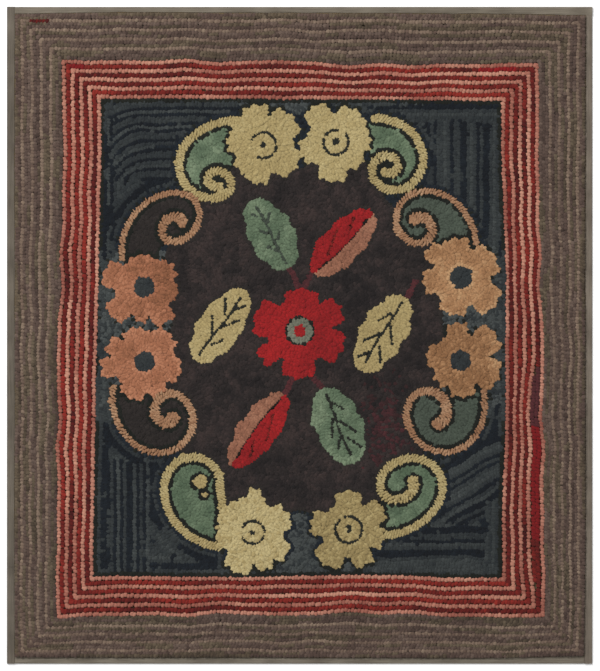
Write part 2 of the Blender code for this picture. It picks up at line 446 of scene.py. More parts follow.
ROW_STEP = 4.5 * MM
PALE_ROWS = (2, 5, 8, 11)
RED_BAND = ("salmon", "red", "salmon", "red", "salmon", "red", "salmon", "red", "salmon")
Stretch = namedtuple("Stretch", "side row start end yarn dye")
STRETCHES = (
    Stretch("top", 16, 0.250, 0.300, "crimson", 0.3),
    Stretch("top", 16, -0.330, -0.300, "crimson", -0.6),
    Stretch("right", 16, -0.285, -0.128, "crimson", -0.5),
    Stretch("right", 16, -0.128, -0.045, "maroon", 1.1),
    Stretch("top", 2, -0.374, -0.350, "red", 0.0),
    Stretch("right", 17, 0.063, 0.286, "salmon", 1.1),
    Stretch("right", 19, 0.077, 0.258, "salmon", 1.1),
    Stretch("left", 17, -0.200, 0.050, "salmon", 1.1),
    Stretch("top", 19, 0.040, 0.240, "salmon", 0.8),
)
DOUBLE = Stretch("right", 16, -0.342, -0.055, "red", 0.0)  # here one dark red row is hooked twice
DOUBLE_WIDTH = 5.6 * MM  # what the second time adds
DOUBLE_FADE = 0.05  # how gently the rows beside it give way, in metres of their length


def pushed_in(side, run, middle):
    """How much further in a row lies beside the double row."""
    if side != DOUBLE.side or middle < DOUBLE.row + 1:
        return 0 * run
    share = np.clip(np.minimum(run - DOUBLE.start, DOUBLE.end - run) / DOUBLE_FADE + 0.5, 0, 1)
    last = BORDER_ROWS - 0.5
    return DOUBLE_WIDTH * gentle(share) * (last - middle) / (last - DOUBLE.row - 1.5)


def border_yarn(row):
    """The yarn of a border row."""
    if row < OUTER_ROWS:
        return "taupe" if row in PALE_ROWS else "grey_brown"
    return RED_BAND[row - OUTER_ROWS]


for row in range(BORDER_ROWS):
    middle = row + 0.5 + FIRST_SHIFT * (row == 0)
    in_red = row >= OUTER_ROWS
    yarn = border_yarn(row)
    row_runs = side_runs(lambda side, run: row_inset(side, run, middle))
    stretches = [(side, start, end, 0) for side, start, end in row_runs]
    if row == DOUBLE.row:
        stretches.append((DOUBLE.side, DOUBLE.start, DOUBLE.end, DOUBLE_WIDTH))
    for side, start, end, further in stretches:
        runs = np.linspace(start, end, ROW_POINTS)
        wander = WANDER * drift(runs, row * ROW_STEP, WANDER_LENGTH, ROW_LAYER)
        wander = wander + SHIVER * drift(runs, row * SHIVER_STEP, SHIVER_LENGTH, ROW_LAYER)
        wander = wander * min(1, (row + LEAST_WANDER) / CALM_ROWS, (BORDER_ROWS - row) / CALM_ROWS)
        inset = row_inset(side, runs, middle) + pushed_in(side, runs, middle) + wander + further
        line = on_side(side, runs, inset)
        spacing = BORDER_SPACING * chance.uniform(1 - SPACING_SPREAD, 1 + SPACING_SPREAD)
        places, headings = evenly(line, spacing, jitter=ROW_JITTER)
        x, y = places.T
        turns = np.where(np.arange(len(x)) % 2, 1, -1)
        strength = RED_DRIFT if in_red else OUTER_DRIFT
        dyes = 0.5 + strength * drift(x + row, y + row * 3, DYE_LENGTH, DYE_LAYER)
        dyes = dyes + chance.uniform(-ROW_DYE, ROW_DYE)
        dyes = dyes + (RED_FLECK if in_red else OUTER_FLECK) * chance.standard_normal(len(x))
        along = x if side in ("top", "bottom") else y
        aside = STAGGER * turns * in_red + SCATTER * chance.standard_normal(len(x))
        x, y = x - aside * np.sin(headings), y + aside * np.cos(headings)
        if yarn == "taupe":
            dyes = dyes + PALE_TURNS * turns
        olive = drift(x, y + row * OLIVE_STEP, OLIVE_LENGTH, RIM_LAYER)
        for i in range(len(x)):
            loop_yarn, dye = yarn, dyes[i]
            for patch in STRETCHES:
                if patch.side == side and patch.row == row and patch.start < along[i] < patch.end:
                    loop_yarn, dye = patch.yarn, dyes[i] + patch.dye - 0.5
            if loop_yarn == "grey_brown" and olive[i] > OLIVE_FROM:
                loop_yarn = "olive_brown"
            keep(x[i], y[i], headings[i], loop_yarn, dye, RIB if in_red else KNIT)
        if not further:
            keep(line[0][0], line[0][1], headings[0] - pi / 4, yarn, dyes[0], KNIT)
border_count = len(kept["dye"])
print("border loops:", border_count)

# %% [markdown]
# ## Drawing the pattern
#
# A rug maker draws the pattern on the ground cloth before hooking. So do we: the middle is divided into
# small cells, and each shape writes its own number into the cells that it covers. Later shapes cover
# earlier ones, as a flower covers the end of its scroll. A scroll is a spiral that closes in steadily, a
# flower is a few petals with teeth, and a leaf is a lens with a midrib. Only the edge of the dark middle is
# a free line, smooth through a few measured points.

# %% Pattern cells
CELL = 0.8 * MM
MIDDLE_X, MIDDLE_Y = 0.296, 0.345
BORDER_CLEAR = 0.3 * MM
cell_x = np.arange(-MIDDLE_X, MIDDLE_X, CELL)
cell_y = np.arange(-MIDDLE_Y, MIDDLE_Y, CELL)
CX, CY = np.meshgrid(cell_x, cell_y)
inside = np.ones(CX.shape, bool)
for side in SIDES:
    out_x, out_y = FACE_OF[side]
    gap = HALF_WIDTH - out_x * CX if out_x else HALF_LENGTH - out_y * CY
    inside &= gap > band_inset(side, CY if out_x else CX, "inner") + BORDER_CLEAR

Region = namedtuple("Region", "number yarn first_row")
regions = []
pattern = np.zeros(CX.shape, int)


def paint(mask, yarn, first_row=None):
    """Writes a new region into the pattern. Its first row may be in a yarn of its own."""
    number = len(regions) + 1
    regions.append(Region(number, yarn, first_row or yarn))
    pattern[mask & inside] = number
    return number


def in_polygon(points):
    """The cells inside a closed line of points."""
    hit = np.zeros(CX.shape, bool)
    points = np.asarray(points)
    for (x0, y0), (x1, y1) in zip(points, np.roll(points, -1, axis=0)):
        if y0 == y1:
            continue
        lines = (cell_y > min(y0, y1)) & (cell_y <= max(y0, y1))
        cross = x0 + (cell_y[lines] - y0) * (x1 - x0) / (y1 - y0)
        hit[lines] ^= cell_x[None, :] > cross[:, None]
    return hit


def smooth_closed(points, steps=12):
    """A smooth closed line through a few points."""
    points = np.asarray(points, float)
    before, after = np.roll(points, 1, axis=0), np.roll(points, -1, axis=0)
    far = np.roll(points, -2, axis=0)
    t = (np.arange(steps) / steps)[None, :, None]
    a, b, c, d = (p[:, None, :] for p in (before, points, after, far))
    line = b + t * (c - a) / 2
    line = line + t**2 * (a - 2.5 * b + 2 * c - d / 2)
    line = line + t**3 * (1.5 * b - a / 2 - 1.5 * c + d / 2)
    return line.reshape(-1, 2)


# The dark middle of the wreath: points of its edge in millimetres, clockwise from the top
WREATH = (
    (0, 232), (50, 262), (100, 232), (122, 186), (166, 150), (205, 92), (198, 24), (208, -40),
    (182, -107), (172, -160), (140, -207), (60, -262), (0, -243), (-56, -262), (-133, -207), (-164, -165),
    (-184, -109), (-200, -42), (-176, 18), (-195, 76), (-172, 152), (-155, 186), (-112, 222), (-50, 258),
)
ground = paint(inside, "navy", "outline")
medallion = paint(in_polygon(smooth_closed(np.array(WREATH) * MM)), "brown", "soot")
print("cells:", pattern.size, "of", CELL * 1000, "mm")

# %% [markdown]
# ### Scrolls
#
# Eight scrolls frame the wreath. Each is a spiral: its radius shrinks from the outer end towards the curl,
# fast at first and then slowly, and the whole is stretched a little one way. The band is two or three loops
# wide, cream or orange, and an orange one swells towards its curl. What the first turn encloses is filled
# with another yarn. The first row of such a fill is near black, which draws the outline.

# %% Scroll shapes
Scroll = namedtuple(
    "Scroll", "flower band fill hole centre wide tight decay stretch tilt start turn half swell"
)
SCROLLS = (
    Scroll("top_left", "cream", "green", "outline", (-115, 216), 87, 9, 122, 1.18, -13, 86, 570, 6.6, 0.1),
    Scroll("top_right", "cream", "green", "outline", (124, 234), 70, 4, 217, 1.04, 173, -69, -585, 6.6, 0.1),
    Scroll("left_high", "apricot", "soot", None, (-174, 153), 67, 4, 218, 1.28, 41, 168, -546, 4.9, 0.65),
    Scroll("left_low", "apricot", "soot", None, (-184, -108), 81, 3, 227, 1.07, 101, 56, 520, 5.2, 0.9),
    Scroll("right_high", "apricot", "moss", None, (167, 151), 77, 8, 173, 1.08, 130, -143, 490, 5.0, 0.85),
    Scroll("right_low", "apricot", "moss", None, (185, -106), 76, 7, 221, 1.14, 114, -93, -440, 5.0, 0.9),
    Scroll("bottom_left", "cream", "green", None, (-135, -208), 80, 3, 211, 1.13, 127, 156, -285, 6.4, 0.0),
    Scroll("bottom_right", "cream", "green", None, (142, -208), 69, 3, 264, 1.23, 24, -130, 480, 6.2, 0.35),
)
ARMS = {"bottom_left": (-106, -250)}  # a scroll's line may go on straight to a place
KNOBS = (((-138.2, -203.5), 10), ((-131.5, -221.5), 4.6))  # a curl that stands alone: centre and radius
HOLE_TURN = 300  # degrees of the curl that its middle is found from
HOLE = 12  # radius of the dark hole in a curl, in millimetres
FIRST_TURN = 330  # degrees of a scroll that enclose its fill
SCROLL_STEP = 1.5  # degrees between two points of a scroll
ARM_POINTS = 30


def scroll_line(scroll):
    """Points along the middle of a scroll's band, in metres."""
    turned = np.arange(0, abs(scroll.turn) + SCROLL_STEP, SCROLL_STEP)
    radius = scroll.tight + (scroll.wide - scroll.tight) * np.exp(-turned / scroll.decay)
    angle = np.radians(scroll.start + np.sign(scroll.turn) * turned)
    long_way, short_way = radius * np.cos(angle) * scroll.stretch, radius * np.sin(angle)
    tilt = radians(scroll.tilt)
    x = scroll.centre[0] + long_way * cos(tilt) - short_way * sin(tilt)
    y = scroll.centre[1] + long_way * sin(tilt) + short_way * cos(tilt)
    points = np.stack([x, y], -1)
    if scroll.flower in ARMS:
        share = np.linspace(0, 1, ARM_POINTS)[1:, None]
        arm = points[-1] + share * (np.array(ARMS[scroll.flower]) - points[-1])
        points = np.concatenate([points, arm])
    return points * MM


def band_half(scroll, count):
    """Half the width of a scroll's band at each of its points, in metres."""
    share = np.linspace(0, 1, count)
    return scroll.half * MM * (1 + scroll.swell * share**3)


def cells_around(x, y, span):
    """The block of cells around a place, this many to each side."""
    i, j = int((x + MIDDLE_X) / CELL), int((y + MIDDLE_Y) / CELL)
    return slice(max(j - span, 0), j + span + 1), slice(max(i - span, 0), i + span + 1)


def near_line(points, reaches):
    """The cells nearer to a line of points than each point's own reach."""
    mask = np.zeros(CX.shape, bool)
    for (x, y), reach in zip(points, reaches):
        box = cells_around(x, y, int(reach / CELL) + 2)
        mask[box] |= (CX[box] - x) ** 2 + (CY[box] - y) ** 2 < reach * reach
    return mask


print("scrolls:", len(SCROLLS))

# %% [markdown]
# ### Flowers
#
# A flower is a round heart with petals. Each petal has a direction, a reach and half a width in degrees.
# Its outline falls off towards its sides, and two or three teeth run along its rim. The eye is a disc or a
# ring in another yarn.

# %% Flower shapes
Flower = namedtuple("Flower", "yarn centre heart petals")
Petal = namedtuple("Petal", "direction reach half")
FLOWERS = {
    "middle": Flower("crimson", (0.6, 5.9), 45, (
        Petal(86, 60, 31), Petal(31, 66, 22), Petal(-24, 65, 27), Petal(-92, 67, 27),
        Petal(-144, 68, 17), Petal(161, 67, 30),
    )),
    "top_left": Flower("cream", (-50.4, 264.2), 42, (
        Petal(103, 59, 24), Petal(45, 58, 32), Petal(-35, 56, 30), Petal(-101, 55, 24),
        Petal(-137, 50, 18), Petal(173, 52, 22), Petal(138, 52, 18),
    )),
    "top_right": Flower("cream", (50.6, 268.1), 41, (
        Petal(123, 60, 24), Petal(57, 54, 32), Petal(5, 49, 24), Petal(-42, 48, 20), Petal(-97, 56, 28),
        Petal(-163, 53, 27),
    )),
    "bottom_left": Flower("cream", (-64.9, -274.3), 43, (
        Petal(87, 63, 11), Petal(92, 53, 28), Petal(28, 57, 27), Petal(-33, 57, 21), Petal(-70, 56, 17),
        Petal(-115, 61, 25), Petal(-172, 52, 26), Petal(142, 54, 28),
    )),
    "bottom_right": Flower("cream", (68.4, -270.3), 38, (
        Petal(90, 55, 27), Petal(168, 55, 25), Petal(-126, 60, 27), Petal(-64, 56, 21), Petal(-15, 52, 24),
        Petal(33, 57, 23),
    )),
    "left_high": Flower("orange", (-215.9, 67.4), 41, (
        Petal(98, 46, 28), Petal(38, 50, 24), Petal(-10, 48, 22), Petal(-58, 60, 20), Petal(-96, 50, 14),
        Petal(-139, 62, 22), Petal(160, 61, 24),
    )),
    "left_low": Flower("orange", (-215.4, -36.8), 43, (
        Petal(48, 54, 26), Petal(112, 51, 24), Petal(152, 58, 18), Petal(-171, 63, 18), Petal(-112, 56, 25),
        Petal(-65, 50, 20), Petal(-16, 53, 25),
    )),
    "right_high": Flower("peach", (225.2, 80.4), 41, (
        Petal(100, 57, 26), Petal(34, 56, 34), Petal(-40, 62, 28), Petal(-106, 55, 28), Petal(-173, 55, 25),
        Petal(138, 63, 17),
    )),
    "right_low": Flower("peach", (224.0, -35.2), 39, (
        Petal(96, 54, 22), Petal(38, 62, 27), Petal(-24, 59, 30), Petal(-86, 52, 26), Petal(170, 49, 26),
        Petal(-137, 45, 20),
    )),
}
TOOTH = 5.6  # height of a tooth, in millimetres
PETAL_FALL = 0.22  # how much of its reach a petal loses at its sides
PETAL_SQUARE = 5  # how late it does so: a high number makes a blunt petal
PETAL_OUT = 1.5  # how far the tips of the teeth stand beyond the reach, in millimetres
WIDE_PETAL = 21  # a petal with more than this half width has three teeth instead of two
Eye = namedtuple("Eye", "flower radius yarn sides")
EYES = (
    Eye("middle", 20.0, "outline", 0), Eye("middle", 17.6, "grey_green", 0), Eye("middle", 9.0, "crimson", 0),
    Eye("left_high", 14.6, "slate", 5), Eye("left_low", 14.2, "slate", 6),
    Eye("right_high", 15.6, "slate", 5), Eye("right_low", 14.6, "slate", 6),
)
EYE_BULGE = 0.06  # how far an eye's corners stand out


def flower_reach(flower, angle):
    """How far a flower reaches in a direction, in millimetres."""
    reach = np.full(np.shape(angle), float(flower.heart))
    for petal in flower.petals:
        across = (angle - petal.direction + 180) % 360 - 180
        share = across / petal.half
        teeth = 3 if petal.half > WIDE_PETAL else 2
        phase = (share + 1) / 2 * teeth
        saw = 1 - 2 * np.abs(phase - np.floor(phase) - 0.5)
        body = petal.reach * (1 - PETAL_FALL * np.abs(share) ** PETAL_SQUARE)
        body = body + PETAL_OUT - TOOTH + TOOTH * saw
        reach = np.where(np.abs(share) < 1, np.maximum(reach, body), reach)
    return reach


scroll_regions = {}
for scroll in SCROLLS:
    line = scroll_line(scroll)
    enclosed = line[: int(FIRST_TURN / SCROLL_STEP)]
    flower_centre = np.array(FLOWERS[scroll.flower].centre) * MM
    paint(in_polygon(np.concatenate([enclosed, flower_centre[None]])), scroll.fill, "outline")
    if scroll.hole:
        curl = line[-int(HOLE_TURN / SCROLL_STEP) :].mean(axis=0)
        paint(np.hypot(CX - curl[0], CY - curl[1]) < HOLE * MM, scroll.hole)
    scroll_regions[scroll] = paint(near_line(line, band_half(scroll, len(line))), scroll.band)
for (knob_x, knob_y), knob_radius in KNOBS:
    paint(np.hypot(CX / MM - knob_x, CY / MM - knob_y) < knob_radius, "cream")

flower_regions = {}
for name, flower in FLOWERS.items():
    away_x, away_y = CX / MM - flower.centre[0], CY / MM - flower.centre[1]
    angle = np.degrees(np.arctan2(away_y, away_x))
    mask = np.hypot(away_x, away_y) < flower_reach(flower, angle)
    flower_regions[name] = paint(mask, flower.yarn)
for name, radius, yarn, sides in EYES:
    away_x, away_y = CX / MM - FLOWERS[name].centre[0], CY / MM - FLOWERS[name].centre[1]
    bulge = 1 + EYE_BULGE * np.cos(sides * np.arctan2(away_y, away_x) + radius)
    paint(np.hypot(away_x, away_y) < radius * bulge, yarn)
print("flowers:", len(flower_regions))

# %% [markdown]
# ### Leaves
#
# A leaf is a lens between its tip and its stalk, with a soft scallop along the rim. Two of them are parted
# down the middle into two yarns. Midribs and side veins are single rows of loops, and come later.

# %% Leaf shapes
Leaf = namedtuple("Leaf", "tip stalk width left right veins")
LEAVES = (
    Leaf((-66.7, 188.3), (-13.4, 93.7), 62, "green", "green", "short"),
    Leaf((102.5, 172.2), (19.9, 85.7), 57, "crimson", "rust", "parted"),
    Leaf((-74.7, 63.0), (-143.9, -35.6), 58, "cream", "cream", "branching"),
    Leaf((85.2, -50.2), (145.2, 53.7), 62, "cream", "cream", "branching"),
    Leaf((-94.7, -182.1), (-20.1, -82.1), 54, "crimson", "rust", "parted"),
    Leaf((77.2, -178.0), (31.9, -74.2), 66, "green", "green", "heavy"),
)
SCALLOP = 1.7  # depth of the scallops, in millimetres
SCALLOPS, SCALLOP_START = 7, 0.8  # half turns of their wave along a leaf, and where it starts
RAGGED = 2.4  # how far the rim wanders besides
RAGGED_LENGTH = 0.011
SIDE_APART = 0.3  # lets the two sides of a leaf wander each in its own way
LEAF_SKEW, LEAF_BLUNT = 0.95, 0.46  # where a leaf is widest, and how blunt its ends are
PARTING = -5.0  # where the two yarns of a parted leaf meet, to the left of its middle line


def leaf_frame(leaf):
    """The leaf's length, the direction from stalk to tip, and the direction to its left."""
    stalk, tip = np.array(leaf.stalk), np.array(leaf.tip)
    length = np.hypot(*(tip - stalk))
    ahead = (tip - stalk) / length
    return stalk, length, ahead, np.array([-ahead[1], ahead[0]])


leaf_regions = []
for leaf in LEAVES:
    stalk, length, ahead, left = leaf_frame(leaf)
    away_x, away_y = CX / MM - stalk[0], CY / MM - stalk[1]
    along = (away_x * ahead[0] + away_y * ahead[1]) / length
    across = away_x * left[0] + away_y * left[1]
    within = (along > 0) & (along < 1)
    swell = np.sin(pi * np.clip(along, 0, 1) ** LEAF_SKEW) ** LEAF_BLUNT
    rim_place = along * length * MM + leaf.width
    ragged = RAGGED * drift(rim_place, np.sign(across) * SIDE_APART, RAGGED_LENGTH, RIM_LAYER)
    rim = (leaf.width / 2 + SCALLOP * np.sin(along * SCALLOPS * pi + SCALLOP_START) + ragged) * swell
    mask = within & (np.abs(across) < rim)
    left_side = paint(mask & (across >= PARTING * swell), leaf.left)
    right_side = left_side
    if leaf.right != leaf.left:
        right_side = paint(mask & (across < PARTING * swell), leaf.right)
    else:
        pattern[mask & inside] = left_side
    leaf_regions.append((left_side, right_side))
print("leaves:", len(LEAVES))

# %% [markdown]
# ## Hooking by hand-drawn lines
#
# Some loops follow a line that the maker drew: the bands of the scrolls, the rings and dots of the eyes, the
# veins of the leaves. These come first, so that the fills go round them. The band of a scroll is hooked in
# short ribs across it, two or three loops in each, so that it looks like a slanted cord.

# %% Drawn lines
LINE_SPACING = 3.6 * MM
LINE_ROOM = 2.5 * MM
LINE_DRIFT, LINE_PATCH, LINE_FLECK = 0.2, 0.03, 0.14  # how a dye drifts, over what length, and loop by loop
Line = namedtuple("Line", "yarn dye shape")


def region_at(x, y):
    """The number of the region at a place."""
    i, j = int(round((x + MIDDLE_X) / CELL)), int(round((y + MIDDLE_Y) / CELL))
    if 0 <= i < len(cell_x) and 0 <= j < len(cell_y):
        return pattern[j, i]
    return 0


def hook_line(points, line, only, closed=False):
    """Hooks one row along some points, inside the regions named."""
    places, headings = evenly(points, LINE_SPACING, closed)
    for (x, y), heading in zip(places, headings):
        if region_at(x, y) in only and has_room(x, y, LINE_ROOM):
            shade = line.dye + LINE_DRIFT * float(drift(x, y, LINE_PATCH, LINE_LAYER))
            shade = shade + LINE_FLECK * chance.standard_normal()
            keep(x, y, heading, line.yarn, shade, line.shape)


RIB_SPACING = 3.7 * MM
RIB_PITCH = 4.6 * MM  # between the loops of one rib
RIB_ROOM = 2.6 * MM
RIB_NARROW = 0.94  # how much of the band's width a rib takes up
RIB_SHIFT = 0.75 * MM  # how far a whole rib may lie to one side
RIB_DYE, RIB_FLECK, RIB_LOOP_FLECK = 0.6, 0.13, 0.05  # a rib's dye, and how ribs and single loops differ
for scroll, number in scroll_regions.items():
    line = scroll_line(scroll)
    places, headings = evenly(line, RIB_SPACING)
    shares = np.linspace(0, 1, len(places))
    halves = np.interp(shares, np.linspace(0, 1, len(line)), band_half(scroll, len(line)))
    for (x, y), heading, half in zip(places, headings, halves):
        loops = max(2, int(round(2 * half / RIB_PITCH)))
        shade = RIB_DYE + LINE_DRIFT * float(drift(x, y, LINE_PATCH, LINE_LAYER))
        shade = shade + RIB_FLECK * chance.standard_normal()
        end_shift = RIB_SHIFT * chance.standard_normal()
        for k in range(loops):
            offset = (k + 0.5 - loops / 2) * 2 * half / loops * RIB_NARROW + end_shift
            back = offset * np.tan(radians(CORD.slant))
            loop_x = x + back * np.cos(heading) - offset * np.sin(heading)
            loop_y = y + back * np.sin(heading) + offset * np.cos(heading)
            if region_at(loop_x, loop_y) == number and has_room(loop_x, loop_y, RIB_ROOM):
                dye = shade + RIB_LOOP_FLECK * chance.standard_normal()
                keep(loop_x, loop_y, heading, scroll.band, dye, CORD)

VEIN = Shape(1.15, 0.82, -10, 1.5, 0.2)
THICK_VEIN = Shape(1.35, 1.15, -10, 1.1, 0.3)
DARK_LINE = Line("outline", 1.0, THICK_VEIN)
RING_STEP = 4  # degrees
Ring = namedtuple("Ring", "flower radius share start", defaults=(1, 0))  # a share of the full turn
RINGS = (
    Ring("top_left", 2.6), Ring("top_left", 18.0, 0.78, 240),
    Ring("top_right", 2.2), Ring("top_right", 5.0, 0.45), Ring("top_right", 17.5, 0.93, 75),
    Ring("bottom_left", 2.2), Ring("bottom_left", 16.0, 0.88, 200),
    Ring("bottom_right", 2.6), Ring("bottom_right", 5.0, 0.35), Ring("bottom_right", 18.6, 0.95, 130),
)
for ring in RINGS:
    turn = np.radians(np.arange(0, 360 * ring.share, RING_STEP) + ring.start)
    centre = np.array(FLOWERS[ring.flower].centre) * MM
    points = centre + ring.radius * MM * np.stack([np.cos(turn), np.sin(turn)], -1)
    hook_line(points, DARK_LINE, (flower_regions[ring.flower],), closed=ring.share == 1)
print("loops so far:", len(kept["dye"]))

# %% [markdown]
# Veins leave the midrib on either side by turns and lean towards the tip. A leaf parted in two yarns has
# two faint ones, on one side only. Then come the stems, which are two maroon rows each.

# %% Veins
Vein = namedtuple("Vein", "from_stalk side length lean")
VEINS = {
    "parted": (Vein(0.18, 1, 0.66, 22), Vein(0.55, 1, 0.50, 24)),
    "short": (
        Vein(0.22, 1, 0.42, 38), Vein(0.34, -1, 0.42, 38), Vein(0.48, 1, 0.40, 38), Vein(0.60, -1, 0.40, 38),
        Vein(0.72, 1, 0.34, 38),
    ),
    "heavy": (
        Vein(0.14, 1, 0.50, 34), Vein(0.30, -1, 0.48, 24), Vein(0.40, 1, 0.58, 34), Vein(0.56, -1, 0.42, 30),
        Vein(0.62, 1, 0.56, 34),
    ),
    "branching": (
        Vein(0.20, -1, 0.50, 34), Vein(0.32, 1, 0.62, 34), Vein(0.46, -1, 0.62, 34), Vein(0.58, 1, 0.60, 34),
        Vein(0.70, -1, 0.46, 34),
    ),
}
MIDRIB = (0.06, 0.90)
MIDRIB_BOW, BOW_START = 1.6, 0.5  # how far a midrib swings to its sides in millimetres, and where it starts
VEIN_START = 0.12  # how far from the midrib a vein begins, as a share of the leaf's half width
VEIN_LINES = {
    "parted": Line("red", 0.5, VEIN),
    "short": Line("moss", -0.2, THICK_VEIN),
    "heavy": DARK_LINE,
    "branching": DARK_LINE,
}
PARTED_MIDRIB = Line("outline", 0.4, VEIN)
for leaf, sides in zip(LEAVES, leaf_regions):
    stalk, length, ahead, left = leaf_frame(leaf)
    steps = np.linspace(MIDRIB[0], MIDRIB[1], 40)[:, None]
    bow = MIDRIB_BOW * np.sin(steps * 2 * pi + BOW_START)
    vein_line = VEIN_LINES[leaf.veins]
    midrib_line = vein_line
    if leaf.veins == "parted":
        bow = PARTING * np.sin(steps * pi)
        midrib_line = PARTED_MIDRIB
    hook_line((stalk + steps * length * ahead + bow * left) * MM, midrib_line, sides)
    for vein in VEINS[leaf.veins]:
        lean = radians(vein.lean)
        reach = np.linspace(VEIN_START, vein.length, 20)[:, None] * leaf.width / 2 / sin(lean)
        way = cos(lean) * ahead + vein.side * sin(lean) * left
        root = stalk + vein.from_stalk * length * ahead
        hook_line((root + reach * way) * MM, vein_line, sides)

STEMS = (
    ((-14, 94), (-1, 66)), ((18, 91), (6, 66)), ((150, 52), (162, 78)), ((-20, -82), (-8, -54)),
    ((32, -74), (14, -54)),
)
STEM_LINE = Line("maroon", 0.85, PLUSH)
STEM_SIDE = 2.0  # a stem is two rows: how far each lies from its middle, in millimetres
for start, end in STEMS:
    steps = np.linspace(0, 1, 12)[:, None]
    start, end = np.array(start), np.array(end)
    ahead = (end - start) / np.hypot(*(end - start))
    for side in (STEM_SIDE, -STEM_SIDE):
        line = start + (end - start) * steps + side * np.array([-ahead[1], ahead[0]])
        hook_line(line * MM, STEM_LINE, (medallion,))
print("loops so far:", len(kept["dye"]))

# %% [markdown]
# ## Filling the shapes
#
# A maker fills a shape by following its edge, round and round, until it is full. For that we need each
# cell's distance to the edge of its own shape. We look along the row of cells first, and then up and down
# the columns, and take the nearest. Lines of equal distance, one row apart, are the rows to hook. They
# are found cell by cell, where the distance passes the wanted value, and joined end to end.

# %% Distance to the edge
FILL_PITCH = 4.5 * MM
FIRST_ROW = 2.2 * MM
LOOK = 90 * MM  # no place is further from an edge than this


def distance_to_edge(cells):
    """For each cell, the distance to the nearest cell of another number."""
    lines, columns = cells.shape
    index = np.arange(columns)
    change = np.ones((lines, columns + 1), bool)
    change[:, 1:-1] = cells[:, 1:] != cells[:, :-1]
    last = np.maximum.accumulate(np.where(change[:, :-1], index, -1), axis=1)
    following = np.where(change[:, 1:], index, columns)
    following = np.minimum.accumulate(following[:, ::-1], axis=1)[:, ::-1]
    along = (np.minimum(index - last, following - index) + 0.5) * CELL
    best = along**2
    for step in range(1, int(LOOK / CELL)):
        gap = ((step - 0.5) * CELL) ** 2
        down = (step * CELL) ** 2
        for here, there in (
            ((slice(step, None),), (slice(None, -step),)),
            ((slice(None, -step),), (slice(step, None),)),
        ):
            same = cells[here] == cells[there]
            value = np.where(same, along[there] ** 2 + down, gap)
            best[here] = np.minimum(best[here], value)
    return np.sqrt(best)


edge_distance = distance_to_edge(pattern)
print("deepest place:", round(float(edge_distance[pattern > 0].max()) * 1000, 1), "mm from an edge")

# %% [markdown]
# To draw a line of equal value through the cells, each square of four cells is looked at. Where the value
# passes between two of its corners, the line crosses that edge of the square. Each edge has a number, so
# the pieces can be joined up.

# %% Lines of equal value


def equal_lines(values, wanted, allowed):
    """Lines of points, in metres, where the values pass the wanted one inside the allowed cells."""
    lines, columns = values.shape
    above = values > wanted
    usable = allowed[:-1, :-1] & allowed[1:, :-1] & allowed[:-1, 1:] & allowed[1:, 1:]
    corners = above[:-1, :-1].astype(int) + above[1:, :-1] + above[:-1, 1:] + above[1:, 1:]
    j, i = np.nonzero(usable & (corners > 0) & (corners < 4))
    offset = lines * columns
    low = (above[j, i] != above[j, i + 1], j * columns + i)
    high = (above[j + 1, i] != above[j + 1, i + 1], (j + 1) * columns + i)
    left = (above[j, i] != above[j + 1, i], offset + j * columns + i)
    right = (above[j, i + 1] != above[j + 1, i + 1], offset + j * columns + i + 1)
    crossed = np.stack([low[0], left[0], high[0], right[0]], -1)
    numbers = np.stack([low[1], left[1], high[1], right[1]], -1)
    links = {}
    for row_crossed, row_numbers in zip(crossed, numbers):
        ends = row_numbers[row_crossed]
        for a, b in zip(ends[::2].tolist(), ends[1::2].tolist()):
            links.setdefault(a, []).append(b)
            links.setdefault(b, []).append(a)
    found, done = [], set()
    starts = [n for n, ends in links.items() if len(ends) == 1] + list(links)
    for start in starts:
        if start in done:
            continue
        chain, here = [start], start
        done.add(start)
        while True:
            onward = [n for n in links[here] if n not in done]
            if not onward:
                break
            here = onward[0]
            done.add(here)
            chain.append(here)
        closed = len(links[start]) == 2 and start in links[here] and len(chain) > 3
        numbers_here = np.array(chain)
        upright = numbers_here >= offset
        flat = np.where(upright, numbers_here - offset, numbers_here)
        row, column = flat // columns, flat % columns
        other_row, other_column = row + upright, column + ~upright
        first, second = values[row, column], values[other_row, other_column]
        same = first == second
        share = np.where(same, 0.5, (wanted - first) / np.where(same, 1, second - first))
        x = cell_x[column] + share * CELL * ~upright
        y = cell_y[row] + share * CELL * upright
        found.append((np.stack([x, y], -1), closed, pattern[row[0], column[0]]))
    return found


def eased(points, closed, rounds=3):
    """Takes the small steps of the cells out of a line."""
    points = points.copy()
    for _ in range(rounds):
        if closed:
            points = (np.roll(points, 1, axis=0) + 2 * points + np.roll(points, -1, axis=0)) / 4
        elif len(points) > 2:
            points[1:-1] = (points[:-2] + 2 * points[1:-1] + points[2:]) / 4
    return points


# %% [markdown]
# Now the fills. Each yarn has its own mood: how much its dye drifts from place to place, how much it
# differs from loop to loop, and how much paler it is at the rim. One function says what dye a loop gets at
# its place. Another gives the yarn of the ground, and the dark middle turns to maroon at its lower right.

# %% Fills
FILL_SPACING = 3.95 * MM
EDGE_STAGGER = 0.8 * MM  # how uneven the first row of a fill is
fill_of = {region.number: region for region in regions}


Mood = namedtuple("Mood", "middle slow fine own rim", defaults=(0, 0))
PLAIN_MOOD = Mood(0.5, 0.2, 0.18)
MOODS = {
    "orange": Mood(0.45, 0.3, 0.25, 0, 0.3),
    "peach": Mood(0.45, 0.3, 0.25, 0, 0.3),
    "green": Mood(0.45, 0.2, 0.35),
    "cream": Mood(0.5, 0.15, 0.1),
    "brown": Mood(0.5, 0.25, 0.4, 0.12),
    "slate": Mood(0.2, 0.2, 0.18),
}
SLOW_PATCH, FINE_PATCH = 0.05, 0.012  # how large the patches are in which a dye drifts
LOOP_FLECK = 0.07  # how much the dyes of two loops differ anyway


